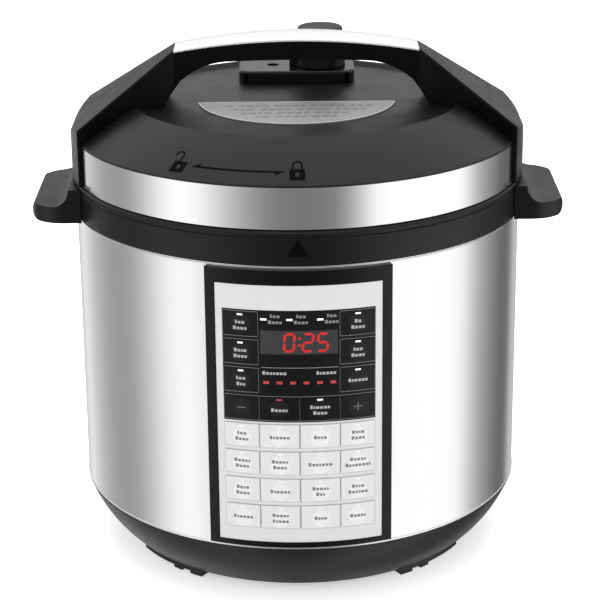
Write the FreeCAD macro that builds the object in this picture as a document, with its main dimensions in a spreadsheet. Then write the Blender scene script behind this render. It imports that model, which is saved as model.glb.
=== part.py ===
"""Electric pressure cooker, millimetres, +Z up.

The origin is on the body's upright axis, at the level of the rubber feet, and the
control panel faces -Y. Driving dimensions are in the sheet "sizes"; every level and
radius below is a formula in those names, worked outwards and upwards from the cooking pot.
"""
import FreeCAD, Part
import math
import os
import re

import Sketcher

Vector = FreeCAD.Vector
doc = FreeCAD.newDocument("pressure_cooker")

# ---------------------------------------------------------------- driving dimensions
SIZES = {
    # clearances
    "seat_gap": 0.15,          # between pieces fixed to each other
    "slide_gap": 0.3,          # between pieces that move past each other
    # removable cooking pot
    "pot_radius": 111.5,
    "pot_height": 162.1,
    "pot_wall": 1.5,
    "pot_corner": 14.0,
    "pot_rim": 5.5,
    "pot_rim_thickness": 2.2,
    # outer locking pot with its lugged rim
    "pot_fit": 1.0,
    "locking_wall": 1.2,
    "locking_bottom": 60.0,
    "well_radius": 19.0,
    "well_depth": 9.0,
    "lug_reach": 8.3,
    "lug_thickness": 2.5,
    "lug_count": 6,
    "lug_sweep": 26.0,
    "support_ring": 6.5,
    "stud_radius": 4.0,
    "stud_circle": 95.0,
    # heater and temperature sensor
    "heater_radius": 90.0,
    "heater_thickness": 12.3,
    "heater_hole": 17.0,
    "sensor_radius": 15.5,
    "sensor_cap_height": 15.0,
    "spring_radius": 11.0,
    "spring_wire": 0.6,
    "spring_turns": 4,
    # steel casing
    "insulation_gap": 20.0,
    "shell_wall": 0.8,
    "tray_floor": 5.0,
    "tray_height": 34.5,
    "tray_taper": 23.7,
    "tray_curve": 89.0,
    "tray_wall": 2.5,
    "tray_rim": 6.5,
    "foot_width": 16.0,
    "foot_sweep": 27.0,
    "foot_start": 30.5,
    "foot_clearance": 2.5,
    "pad_margin": 2.0,
    "boss_radius": 7.0,
    "boss_height": 14.5,
    "screw_radius": 1.9,
    "screw_head": 3.8,
    "screw_head_height": 2.4,
    "tray_screw_length": 20.0,
    # collar round the rim
    "collar_drop": 4.4,        # from the collar's top down to the pot's rim
    "collar_height": 20.7,
    "collar_overhang": 0.8,
    "collar_wall": 4.2,
    "collar_floor": 2.5,
    "collar_floor_rise": 4.3,
    "collar_skirt": 7.5,
    "groove_depth": 0.6,
    "groove_height": 0.7,
    "groove_drop": 3.4,
    # side handles
    "side_reach": 25.2,
    "side_half_width": 45.0,
    "side_corner": 21.0,
    "side_thickness": 10.2,
    "side_drop": 2.4,
    "side_sweep_up": 11.0,
    "side_recess": 6.5,
    # control panel
    "bezel_half_width": 55.4,
    "bezel_depth": 1.9,
    "bezel_margin": 2.1,
    "bezel_floor": 0.8,
    "overlay_half_width": 49.2,
    "overlay_foot": 3.5,       # bezel's lower border
    "overlay_head": 9.3,       # bezel's upper border
    "overlay_thickness": 0.65,
    "key_half_field": 44.8,
    "key_inner_column": 23.7,
    "key_foot": 9.4,           # plain border under the keys
    "key_head": 16.7,          # plain border over the keys
    "key_rows": 8,
    "key_strip": 3.0,          # plain strip between two rows
    "key_web": 0.5,            # web between two columns
    "key_gap": 0.15,
    "key_thickness": 0.9,
    "key_travel": 0.4,
    "window_half_width": 22.6,
    "window_height": 15.0,
    "board_depth": 11.0,
    "board_thickness": 1.6,
    "frame_wall": 1.6,
    # mains side
    "power_board_width": 100.0,
    "power_board_length": 62.0,
    "power_board_lift": 7.0,
    "socket_width": 31.0,
    "socket_height": 24.0,
    "socket_flange": 3.5,
    "socket_depth": 17.0,
    "socket_rise": 25.0,
    "socket_wall": 3.2,
    "socket_pocket": 14.0,
    # condensation cup and its rails at the back
    "cup_half_width": 28.0,
    "cup_depth": 20.0,
    "cup_height": 46.0,
    "cup_wall": 1.6,
    "cup_flange": 3.2,
    "cup_flange_reach": 4.7,
    "cup_corner": 5.0,
    "spout_half_width": 5.0,
    "rail_wall": 2.0,
    # lid: pressure plate and sealing ring
    "lug_play": 3.0,
    "lid_lug_reach": 8.0,
    "lid_lug_sweep": 23.0,
    "lid_wall": 1.5,
    "lid_dome_rise": 7.0,
    "lid_dome_radius": 75.0,
    "lid_dome_slope": 20.0,
    "seal_height": 10.4,
    "seal_width": 9.5,
    "seal_lip": 2.7,
    "rack_wire": 1.3,
    "lid_screw_inset": 14.4,
    "lid_boss_radius": 5.0,
    "lid_screw_length": 14.0,
    # lid: band and cover
    "lid_gap": 0.5,
    "band_inset": 0.4,
    "band_wall": 0.9,
    "band_height": 25.2,
    "band_lip": 4.2,
    "cover_wall": 2.5,
    "cover_slope_width": 36.4,
    "cover_rise": 20.4,
    "cover_curve": 260.0,
    "cover_lip": 1.0,
    "plateau_drop": 2.5,
    "plate_radius": 61.7,
    "plate_offset": 4.1,
    "plate_flat": 10.6,
    "plate_thickness": 0.5,
    # lid handle
    "grip_rise": 41.2,
    "grip_crown": 7.1,
    "grip_half_length": 76.0,
    "grip_half_width": 15.4,
    "grip_end_half_width": 13.0,
    "grip_thickness": 13.3,
    "trim_thickness": 1.6,
    "trim_edge": 0.8,
    "handle_edge": 1.0,
    "fin_thickness": 2.3,
    "fin_shoulder": 4.7,
    "fin_half_width": 47.0,
    "fin_flare": 6.6,
    "fin_corner": 11.0,
    "arch_half_length": 81.5,
    "arch_foot": 1.5,
    "arch_knee": 73.0,
    "arch_knee_rise": 13.6,
    "arch_flat": 44.0,
    "arch_curve": 46.0,
    "arch_crown": 1.0,
    # steam valve, float valve and their raised housing
    "housing_half_length": 37.5,
    "housing_front": 40.0,
    "housing_depth": 40.0,
    "housing_corner": 9.0,
    "housing_height": 7.9,
    "housing_edge": 1.8,
    "valve_offset": 15.4,
    "valve_back": 60.0,
    "pipe_radius": 4.0,
    "pipe_bore": 1.6,
    "knob_radius": 16.5,
    "knob_top_radius": 14.7,
    "knob_height": 25.2,
    "float_radius": 2.2,
    "float_head": 3.6,
    "float_travel": 5.0,
    "float_seal_radius": 6.0,
    "shield_radius": 13.0,
    "shield_height": 15.0,
    "shield_wall": 1.0,
}

sheet = doc.addObject("Spreadsheet::Sheet", "sizes")
for row, (alias, size) in enumerate(SIZES.items(), start=1):
    sheet.set(f"A{row}", alias)
    sheet.set(f"B{row}", str(size))
    sheet.setAlias(f"B{row}", alias)
doc.recompute()

# ---------------------------------------------------------------- levels and radii
# radii, from the cooking pot outwards
LOCKING_BORE = "(pot_radius + pot_rim + pot_fit)"
LOCKING_RADIUS = f"({LOCKING_BORE} + locking_wall)"
LUG_RADIUS = f"({LOCKING_RADIUS} + lug_reach)"
SKIRT_BORE = f"({LUG_RADIUS} + lug_play)"
SKIRT_RADIUS = f"({SKIRT_BORE} + lid_wall)"
SHELL_BORE = f"({LOCKING_RADIUS} + insulation_gap)"
SHELL_RADIUS = f"({SHELL_BORE} + shell_wall)"
COLLAR_RADIUS = f"({SHELL_RADIUS} + collar_overhang)"
COLLAR_BORE = f"({COLLAR_RADIUS} - collar_wall)"
BAND_RADIUS = f"({SHELL_RADIUS} - band_inset)"
BAND_BORE = f"({BAND_RADIUS} - band_wall)"
COVER_RADIUS = f"({BAND_BORE} - seat_gap * 2)"
SEAM_RADIUS = f"({BAND_RADIUS} - cover_slope_width)"
PLATEAU_RADIUS = f"({SEAM_RADIUS} - 3.2)"
BEZEL_BACK = f"({SHELL_RADIUS} + seat_gap)"
BEZEL_FRONT = f"({BEZEL_BACK} + bezel_depth)"
OVERLAY_BACK = f"({BEZEL_BACK} + bezel_floor + seat_gap)"
OVERLAY_FRONT = f"({OVERLAY_BACK} + overlay_thickness)"
KEY_BACK = f"({OVERLAY_BACK} + seat_gap)"
BOARD_FRONT = f"({SHELL_BORE} - board_depth)"

# levels, from the feet upwards
SHELL_BOTTOM = "(tray_floor + tray_height + seat_gap)"
HEATER_BOTTOM = "(locking_bottom + locking_wall + seat_gap)"
HEATER_TOP = f"({HEATER_BOTTOM} + heater_thickness)"
POT_BOTTOM = f"({HEATER_TOP} + slide_gap)"
RIM_TOP = f"({POT_BOTTOM} + pot_height)"
COLLAR_TOP = f"({RIM_TOP} + collar_drop)"
COLLAR_BOTTOM = f"({COLLAR_TOP} - collar_height)"
SHELL_TOP = f"({COLLAR_BOTTOM} - seat_gap)"
COLLAR_FLOOR = f"({COLLAR_BOTTOM} + collar_floor_rise)"
LUG_BOTTOM = f"({RIM_TOP} - lug_thickness)"
LID_LUG_TOP = f"({LUG_BOTTOM} - lug_play)"
LID_LUG_BOTTOM = f"({LID_LUG_TOP} - lug_thickness)"
SEAL_BOTTOM = f"({RIM_TOP} + slide_gap)"
SEAL_TOP = f"({SEAL_BOTTOM} + seal_height)"
LID_PLATE = f"({SEAL_TOP} + slide_gap)"
LID_PLATE_TOP = f"({LID_PLATE} + lid_wall)"
LID_DOME = f"({LID_PLATE} + lid_dome_rise)"
BAND_BOTTOM = f"({COLLAR_TOP} + lid_gap)"
BAND_TOP = f"({BAND_BOTTOM} + band_height)"
SEAM_TOP = f"({BAND_TOP} + seat_gap + cover_rise)"
PLATEAU = f"({SEAM_TOP} - plateau_drop)"
HOUSING_BOTTOM = f"({PLATEAU} + seat_gap)"
HOUSING_TOP = f"({HOUSING_BOTTOM} + housing_height)"
GRIP_TOP = f"({PLATEAU} + grip_rise)"
GRIP_END = f"({GRIP_TOP} - grip_crown)"
SOCKET_LEVEL = f"({SHELL_BOTTOM} + socket_rise)"

# the panel's rows and columns
BEZEL_BOTTOM = f"({SHELL_BOTTOM} + bezel_margin)"
BEZEL_TOP = f"({SHELL_TOP} - bezel_margin)"
OVERLAY_BOTTOM = f"({BEZEL_BOTTOM} + overlay_foot)"
OVERLAY_TOP = f"({BEZEL_TOP} - overlay_head)"
KEYS_BOTTOM = f"({OVERLAY_BOTTOM} + key_foot)"
KEYS_TOP = f"({OVERLAY_TOP} - key_head)"
ROW_PITCH = f"(({KEYS_TOP} - {KEYS_BOTTOM} + key_strip) / key_rows)"
WINDOW_BOTTOM = f"({KEYS_BOTTOM} + {ROW_PITCH} * 6.364)"
COLUMN_EDGES = ["-key_half_field", "-key_inner_column", "0", "key_inner_column", "key_half_field"]

kept = []


# ---------------------------------------------------------------- drawing helpers
def formula(text):
    """Point the names in a formula at the size sheet."""
    return re.sub(r"[a-z_]+", lambda m: "sizes." + m[0] if m[0] in SIZES else m[0], str(text))


def value(text):
    """Work a formula out as a plain number."""
    result = sheet.evalExpression(formula(text))
    return float(getattr(result, "Value", result))


def bind(thing, **properties):
    """Set each named property of a document object from its formula."""
    for name, text in properties.items():
        thing.setExpression(name, formula(text))
    return thing


def place(thing, x=None, y=None, z=None, turn=None):
    """Put an object at formulas, turned about Z by degrees."""
    for axis, text in (("x", x), ("y", y), ("z", z)):
        if text is not None:
            thing.setExpression(f"Placement.Base.{axis}", formula(text))
    if turn is not None:
        thing.setExpression("Placement.Rotation.Angle", formula(turn))
    return thing


def keep(thing, label):
    """Name a finished sub-part and list it for export."""
    thing.Label = label
    kept.append(thing)
    return thing


def draw(sketch, outline):
    """Close an outline of corners (x, y), each held at its formulas.

    A third entry gives the edge that follows as an arc of that radius. It bulges to the
    right of the way the outline runs, or to the left where the radius starts with "-".
    """
    points = [Vector(value(corner[0]), value(corner[1]), 0) for corner in outline]
    ends = []
    for index, corner in enumerate(outline):
        start, stop = points[index], points[(index + 1) % len(points)]
        if len(corner) < 3:
            sketch.addGeometry(Part.LineSegment(start, stop), False)
            ends.append((1, 2))
            continue
        radius = abs(value(corner[2]))
        leftward = str(corner[2]).startswith("-")
        chord = stop - start
        side = Vector(chord.y, -chord.x, 0).normalize()
        if leftward:
            side = side * -1
        sagitta = radius - math.sqrt(max(radius**2 - (chord.Length / 2) ** 2, 0))
        middle = (start + stop) * 0.5
        centre = middle + side * (sagitta - radius)
        first, last = (stop, start) if leftward else (start, stop)
        angles = [math.atan2(p.y - centre.y, p.x - centre.x) for p in (first, last)]
        circle = Part.Circle(centre, Vector(0, 0, 1), radius)
        sketch.addGeometry(Part.ArcOfCircle(circle, angles[0], angles[1]), False)
        ends.append((2, 1) if leftward else (1, 2))
    for index, corner in enumerate(outline):
        before = index - 1 if index else len(outline) - 1
        sketch.addConstraint(
            Sketcher.Constraint("Coincident", before, ends[before][1], index, ends[index][0])
        )
        for kind, text in (("DistanceX", corner[0]), ("DistanceY", corner[1])):
            number = sketch.addConstraint(
                Sketcher.Constraint(kind, -1, 1, index, ends[index][0], value(text))
            )
            sketch.setExpression(f"Constraints[{number}]", formula(text))
        if len(corner) == 3:
            text = str(corner[2]).lstrip("-")
            number = sketch.addConstraint(Sketcher.Constraint("Radius", index, value(text)))
            sketch.setExpression(f"Constraints[{number}]", formula(text))


def plane(body, role):
    """One of a body's own origin planes."""
    return next(f for f in body.Origin.OriginFeatures if f.Role == role)


def turned(name, outline):
    """A body turned about Z from an outline of (radius, level) corners."""
    body = doc.addObject("PartDesign::Body", name)
    sketch = body.newObject("Sketcher::SketchObject", name + "_outline")
    sketch.AttachmentSupport = [(plane(body, "XZ_Plane"), "")]
    sketch.MapMode = "FlatFace"
    draw(sketch, outline)
    feature = body.newObject("PartDesign::Revolution", name + "_turned")
    feature.Profile = sketch
    feature.ReferenceAxis = (sketch, ["V_Axis"])
    feature.Angle = 360
    return body


def padded(name, outline, bottom, height):
    """A body raised from an outline of (x, y) corners at a level."""
    body = doc.addObject("PartDesign::Body", name)
    sketch = body.newObject("Sketcher::SketchObject", name + "_outline")
    sketch.AttachmentSupport = [(plane(body, "XY_Plane"), "")]
    sketch.MapMode = "FlatFace"
    sketch.setExpression("AttachmentOffset.Base.z", formula(bottom))
    draw(sketch, outline)
    feature = body.newObject("PartDesign::Pad", name + "_pad")
    feature.Profile = sketch
    bind(feature, Length=height)
    return body


def thickened(name, outline, depth):
    """A body whose (x, z) outline runs an equal way to each side of the XZ plane."""
    body = doc.addObject("PartDesign::Body", name)
    sketch = body.newObject("Sketcher::SketchObject", name + "_outline")
    sketch.AttachmentSupport = [(plane(body, "XZ_Plane"), "")]
    sketch.MapMode = "FlatFace"
    draw(sketch, outline)
    feature = body.newObject("PartDesign::Pad", name + "_pad")
    feature.Profile = sketch
    feature.SideType = "Symmetric"
    bind(feature, Length=depth)
    return body


def cylinder(name, radius, height, x="0", y="0", z="0", sweep=None, turn=None):
    """An upright cylinder, or the wedge of one."""
    thing = doc.addObject("Part::Cylinder", name)
    bind(thing, Radius=radius, Height=height)
    if sweep is not None:
        bind(thing, Angle=sweep)
    return place(thing, x, y, z, turn)


def block(name, x, y, z, length, width, height):
    """A box from its lowest corner."""
    thing = doc.addObject("Part::Box", name)
    bind(thing, Length=length, Width=width, Height=height)
    return place(thing, x, y, z)


def join(name, *things):
    """One solid from several that meet."""
    thing = doc.addObject("Part::MultiFuse", name)
    thing.Shapes = list(things)
    return thing


def group(name, *things):
    """Separate solids kept in one sub-part."""
    thing = doc.addObject("Part::Compound", name)
    thing.Links = list(things)
    return thing


def cut(name, base, *tools):
    """A solid with tools taken away."""
    thing = doc.addObject("Part::Cut", name)
    thing.Base = base
    thing.Tool = tools[0] if len(tools) == 1 else join(name + "_tools", *tools)
    return thing


def overlap(name, *things):
    """What several solids have in common."""
    thing = doc.addObject("Part::MultiCommon", name)
    thing.Shapes = list(things)
    return thing


def rounded(name, base, radius, wanted):
    """A solid with the edges rounded that a test on each edge's bounding box picks."""
    doc.recompute()
    size = value(radius)
    fillet = doc.addObject("Part::Fillet", name)
    fillet.Base = base
    fillet.Edges = [
        (number, size, size)
        for number, edge in enumerate(base.Shape.Edges, 1) if wanted(edge.BoundBox)
    ]
    return fillet


def sector(name, inner, outer, bottom, height, start, sweep):
    """Part of a ring, from a start angle in degrees counted from +X."""
    whole = cylinder(name + "_outside", outer, height, z=bottom, sweep=sweep, turn=start)
    hollow = cylinder(name + "_inside", inner, f"{height} + 2", z=f"{bottom} - 1")
    return cut(name, whole, hollow)


def front_sector(name, inner, outer, bottom, height, left, right):
    """Part of a ring at the front, between two arc lengths measured at the shell."""
    degrees = f"* 180 / {math.pi} / {SHELL_RADIUS}"
    return sector(
        name, inner, outer, bottom, height,
        f"-90 + ({left}) {degrees}", f"(({right}) - ({left})) {degrees}",
    )


def at_angle(circle, degrees):
    """Formulas for the point of a circle at an angle."""
    return f"({circle}) * cos({degrees} deg)", f"({circle}) * sin({degrees} deg)"


def rounding(before, corner, after, radius):
    """Two outline entries that round a corner, both sides meeting the arc smoothly."""
    ways = []
    for end in (before, after):
        dx, dy = f"(({end[0]}) - ({corner[0]}))", f"(({end[1]}) - ({corner[1]}))"
        length = f"sqrt({dx}^2 + {dy}^2)"
        ways.append((f"({dx} / {length})", f"({dy} / {length})"))
    (ax, ay), (bx, by) = ways
    cosine = f"({ax} * {bx} + {ay} * {by})"
    back = f"({radius} * sqrt((1 + {cosine}) / (1 - {cosine})))"
    first = (f"{corner[0]} + {ax} * {back}", f"{corner[1]} + {ay} * {back}")
    last = (f"{corner[0]} + {bx} * {back}", f"{corner[1]} + {by} * {back}")
    return first, last


# ---------------------------------------------------------------- casing
def four_feet(first, sweep):
    """Start angles of the four mirrored copies of an arc that begins at a first angle."""
    return [first, f"180 - ({first}) - ({sweep})", f"180 + ({first})", f"360 - ({first}) - ({sweep})"]


FLOOR_RADIUS = f"({SHELL_RADIUS} - tray_taper)"
FLOOR_TOP = "(tray_floor + tray_wall)"
TRAY_RIM = "(tray_floor + tray_height)"
RIM_OUTER = f"({SHELL_BORE} - seat_gap)"
SCREW_LEDGE = "(tray_floor + boss_height / 2)"
BOSS_TOP = f"({FLOOR_TOP} + boss_height)"
STUD_ANGLES = (0, 90, 180, 270)
BOARD_CENTRE = 20.0            # power board's middle, behind the axis
POST_X, POST_Y = 44.0, 25.0    # its four posts, from that middle


def make_base_tray():
    """Plastic bowl that closes the casing from below, with feet, bosses and vents."""
    bowl = turned("tray_bowl", [
        ("0", "tray_floor"),
        (FLOOR_RADIUS, "tray_floor", "tray_curve"),
        (f"{SHELL_RADIUS} + seat_gap * 2", TRAY_RIM),
        (RIM_OUTER, TRAY_RIM),
        (RIM_OUTER, f"{TRAY_RIM} + tray_rim"),
        (f"{RIM_OUTER} - tray_wall", f"{TRAY_RIM} + tray_rim"),
        (f"{RIM_OUTER} - tray_wall", TRAY_RIM, "-(tray_curve - tray_wall)"),
        (f"{FLOOR_RADIUS} - tray_wall / 2", FLOOR_TOP),
        ("0", FLOOR_TOP),
    ])
    solids = [bowl]
    for number, start in enumerate(four_feet("foot_start", "foot_sweep")):
        solids.append(sector(
            f"foot_block_{number}", f"{FLOOR_RADIUS} - foot_width", FLOOR_RADIUS,
            "foot_clearance", "tray_floor + tray_wall / 2 - foot_clearance", start, "foot_sweep",
        ))
    holes = []
    for number, angle in enumerate(STUD_ANGLES):
        x, y = at_angle("stud_circle", angle)
        solids.append(cylinder(f"tray_boss_{number}", "boss_radius",
                               f"{BOSS_TOP} - {FLOOR_TOP} + 1", x, y, f"{FLOOR_TOP} - 1"))
        holes.append(cylinder(f"screw_way_{number}", "screw_radius + slide_gap",
                              "boss_height + 20", x, y, "tray_floor - 10"))
        holes.append(cylinder(f"screw_well_{number}", "screw_head + slide_gap",
                              f"{SCREW_LEDGE} - tray_floor + 10", x, y, "tray_floor - 10"))
    for number, (x, y) in enumerate((sx, sy) for sx in (-1, 1) for sy in (-1, 1)):
        solids.append(cylinder(f"board_post_{number}", "3", "power_board_lift + 1",
                               f"{x * POST_X}", f"{BOARD_CENTRE + y * POST_Y}", f"{FLOOR_TOP} - 1"))
    for number in range(9):
        slot = block(f"vent_{number}", "0", "0", "tray_floor - 1", "34", "3", "tray_wall + 2")
        angle = 200 + number * 17.5
        place(slot, *at_angle("44", angle), turn=str(angle))
        holes.append(slot)
    keep(cut("tray_finished", join("tray_solid", *solids), *holes), "base_tray")


def make_foot_pads():
    """Rubber pads under the ends of the four foot blocks."""
    pads = []
    for first, sweep in ((45.5, 3.5), (52.5, 4.5)):
        for start in four_feet(str(first), str(sweep)):
            pads.append(sector(
                f"pad_{len(pads)}", f"{FLOOR_RADIUS} - foot_width + pad_margin",
                f"{FLOOR_RADIUS} - pad_margin / 2", "0", "foot_clearance", start, str(sweep),
            ))
    keep(group("pads", *pads), "foot_pads")


def make_outer_shell():
    """Rolled steel casing with a window behind the panel and a hole for the socket."""
    tube = turned("shell_tube", [
        (SHELL_BORE, SHELL_BOTTOM), (SHELL_RADIUS, SHELL_BOTTOM),
        (SHELL_RADIUS, SHELL_TOP), (SHELL_BORE, SHELL_TOP),
    ])
    window = front_sector(
        "panel_window", f"{SHELL_BORE} - 1", f"{SHELL_RADIUS} + 1", f"{KEYS_BOTTOM} - 4",
        f"{KEYS_TOP} - {KEYS_BOTTOM} + 8", "-(overlay_half_width - 1)", "overlay_half_width - 1",
    )
    socket_hole = block(
        "socket_hole", "-(socket_width / 2 + seat_gap)", f"{SHELL_BORE} - 10",
        f"{SOCKET_LEVEL} - socket_height / 2 - seat_gap",
        "socket_width + seat_gap * 2", "20", "socket_height + seat_gap * 2",
    )
    keep(cut("shell_finished", tube, window, socket_hole), "outer_shell")


RAIL_INNER = "(cup_half_width + cup_flange_reach + slide_gap)"
CUP_TOP = f"({COLLAR_FLOOR} + 5.5)"
FLANGE_BOTTOM = f"({CUP_TOP} - cup_flange)"


def make_top_collar():
    """Plastic collar that carries the locking pot and drains into the cup behind."""
    chamfer = 1.2
    ring = turned("collar_ring", [
        (f"{LOCKING_RADIUS} + slide_gap", f"{COLLAR_FLOOR} - collar_floor"),
        (f"{RIM_OUTER} - tray_wall", f"{COLLAR_FLOOR} - collar_floor"),
        (f"{RIM_OUTER} - tray_wall", f"{COLLAR_BOTTOM} - collar_skirt"),
        (RIM_OUTER, f"{COLLAR_BOTTOM} - collar_skirt"),
        (RIM_OUTER, COLLAR_BOTTOM),
        (COLLAR_RADIUS, COLLAR_BOTTOM),
        (COLLAR_RADIUS, f"{COLLAR_TOP} - groove_drop - groove_height"),
        (f"{COLLAR_RADIUS} - groove_depth", f"{COLLAR_TOP} - groove_drop - groove_height"),
        (f"{COLLAR_RADIUS} - groove_depth", f"{COLLAR_TOP} - groove_drop"),
        (COLLAR_RADIUS, f"{COLLAR_TOP} - groove_drop"),
        (COLLAR_RADIUS, f"{COLLAR_TOP} - {chamfer}"),
        (f"{COLLAR_RADIUS} - {chamfer}", COLLAR_TOP),
        (COLLAR_BORE, COLLAR_TOP),
        (COLLAR_BORE, COLLAR_FLOOR),
        (f"{LOCKING_RADIUS} + slide_gap", COLLAR_FLOOR),
    ])
    rails = []
    start = f"({COLLAR_RADIUS} - collar_wall - 1.6)"
    length = f"({COLLAR_RADIUS} + cup_depth + 1 - {start})"
    for side in (-1, 1):
        web = f"{side} * ({RAIL_INNER} + rail_wall / 2) - rail_wall / 2"
        lip_middle = f"{side} * (cup_half_width + 1.5 + ({RAIL_INNER} - cup_half_width - 1) / 2)"
        lip_width = f"({RAIL_INNER} - cup_half_width - 1)"
        rails += [
            block(f"rail_web_{side}", web, start, f"{FLANGE_BOTTOM} - slide_gap - rail_wall",
                  "rail_wall", length, "cup_flange + (slide_gap + rail_wall) * 2"),
            block(f"rail_under_{side}", f"{lip_middle} - {lip_width} / 2", start,
                  f"{FLANGE_BOTTOM} - slide_gap - rail_wall", lip_width, length, "rail_wall"),
            block(f"rail_over_{side}", f"{lip_middle} - {lip_width} / 2", start,
                  f"{CUP_TOP} + slide_gap", lip_width, length, "rail_wall"),
        ]
    spout = block("spout", "-spout_half_width", f"{COLLAR_BORE} - 3", f"{COLLAR_FLOOR} + 0.2",
                  "spout_half_width * 2", "collar_wall + 6", "3")
    keep(cut("collar_finished", join("collar_solid", ring, *rails), spout), "top_collar")


SIDE_OUT = f"({COLLAR_RADIUS} + side_reach)"
SIDE_BOTTOM = f"({COLLAR_BOTTOM} - side_drop)"
SIDE_TOP = f"({SIDE_BOTTOM} + side_thickness)"


def make_side_handles():
    """Carrying handles moulded to the collar's curve, open underneath for the fingers."""
    handles = []
    for number, turn in enumerate(("0", "180")):
        side = thickened(f"side_profile_{number}", [
            (f"{COLLAR_RADIUS} - 15", SIDE_BOTTOM),
            (f"{SIDE_OUT} - 5", SIDE_BOTTOM, "5"),
            (SIDE_OUT, f"{SIDE_BOTTOM} + 5"),
            (f"{SIDE_OUT} - 1.2", f"{SIDE_TOP} - 1.5", "1.5"),
            (f"{SIDE_OUT} - 2.7", SIDE_TOP),
            (f"{COLLAR_RADIUS} + 0.6 + side_sweep_up", SIDE_TOP, "-side_sweep_up"),
            (f"{COLLAR_RADIUS} + 0.6", f"{SIDE_TOP} + side_sweep_up"),
            (f"{COLLAR_RADIUS} - 15", f"{SIDE_TOP} + side_sweep_up"),
        ], "side_half_width * 2")
        corners = []
        low = (f"{COLLAR_RADIUS} - 15", "-side_half_width")
        right_low, right_high = (SIDE_OUT, "-side_half_width"), (SIDE_OUT, "side_half_width")
        high = (f"{COLLAR_RADIUS} - 15", "side_half_width")
        for before, corner, after in ((low, right_low, right_high), (right_low, right_high, high)):
            first, last = rounding(before, corner, after, "side_corner")
            corners += [(*first, "side_corner"), last]
        plan = padded(f"side_plan_{number}", [low, *corners, high], f"{SIDE_BOTTOM} - 1",
                      "side_thickness + side_sweep_up + 2")
        recess = block(
            f"side_recess_{number}", f"{COLLAR_RADIUS} + 3.5", "-(side_half_width - 11)",
            f"{SIDE_BOTTOM} - 1", "side_reach - 12.5", "side_half_width * 2 - 22", "side_recess + 1",
        )
        for piece in (side, plan):
            place(piece, turn=turn)
        if turn != "0":
            place(recess, f"-({COLLAR_RADIUS} + 3.5)", "side_half_width - 11", turn=turn)
        body = cylinder(f"collar_space_{number}", f"{COLLAR_RADIUS} + seat_gap",
                        "100", z=f"{SIDE_BOTTOM} - 50")
        handles.append(cut(f"side_handle_{number}", overlap(f"side_solid_{number}", side, plan),
                           body, recess))
    keep(group("both_side_handles", *handles), "side_handles")


# ---------------------------------------------------------------- pots, heater, sensor
def make_locking_pot():
    """Outer steel pot: lugged rim above, sensor well and studs below."""
    wall = "locking_wall"
    corner = 6
    vessel = turned("locking_vessel", [
        ("0", "locking_bottom - well_depth"),
        (f"well_radius + {wall}", "locking_bottom - well_depth"),
        (f"well_radius + {wall}", "locking_bottom"),
        (f"{LOCKING_RADIUS} - {corner}", "locking_bottom", f"{corner}"),
        (LOCKING_RADIUS, f"locking_bottom + {corner}"),
        (LOCKING_RADIUS, f"{COLLAR_FLOOR} + seat_gap"),
        (f"{LOCKING_RADIUS} + support_ring", f"{COLLAR_FLOOR} + seat_gap"),
        (f"{LOCKING_RADIUS} + support_ring", f"{COLLAR_FLOOR} + seat_gap + {wall}"),
        (LOCKING_RADIUS, f"{COLLAR_FLOOR} + seat_gap + {wall}"),
        (LOCKING_RADIUS, RIM_TOP),
        (LOCKING_BORE, RIM_TOP),
        (LOCKING_BORE, f"locking_bottom + {corner}", f"-({corner} - {wall})"),
        (f"{LOCKING_RADIUS} - {corner}", f"locking_bottom + {wall}"),
        ("well_radius", f"locking_bottom + {wall}"),
        ("well_radius", f"locking_bottom - well_depth + {wall}"),
        ("0", f"locking_bottom - well_depth + {wall}"),
    ])
    solids, holes = [vessel], []
    for number in range(SIZES["lug_count"]):
        solids.append(sector(
            f"pot_lug_{number}", f"{LOCKING_RADIUS} - {wall} / 2", LUG_RADIUS, LUG_BOTTOM,
            "lug_thickness", f"{number} * 360 / lug_count - lug_sweep / 2", "lug_sweep",
        ))
    stud_bottom = f"({BOSS_TOP} + seat_gap)"
    for number, angle in enumerate(STUD_ANGLES):
        x, y = at_angle("stud_circle", angle)
        solids.append(cylinder(f"stud_{number}", "stud_radius",
                               f"locking_bottom + {wall} / 2 - {stud_bottom}", x, y, stud_bottom))
        holes.append(cylinder(f"stud_thread_{number}", "screw_radius",
                              "tray_screw_length", x, y, f"{stud_bottom} - 5"))
    keep(cut("locking_finished", join("locking_solid", *solids), *holes), "locking_pot")


def make_heater_plate():
    """Cast aluminium heater with a hole for the sensor."""
    keep(turned("heater", [
        ("heater_hole", HEATER_BOTTOM),
        ("heater_radius - 2", HEATER_BOTTOM),
        ("heater_radius", f"{HEATER_BOTTOM} + 2"),
        ("heater_radius", f"{HEATER_TOP} - 2"),
        ("heater_radius - 2", HEATER_TOP),
        ("heater_hole", HEATER_TOP),
    ]), "heater_plate")


CAP_TOP = f"({POT_BOTTOM} - seat_gap)"
CAP_WALL = 1.2


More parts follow.
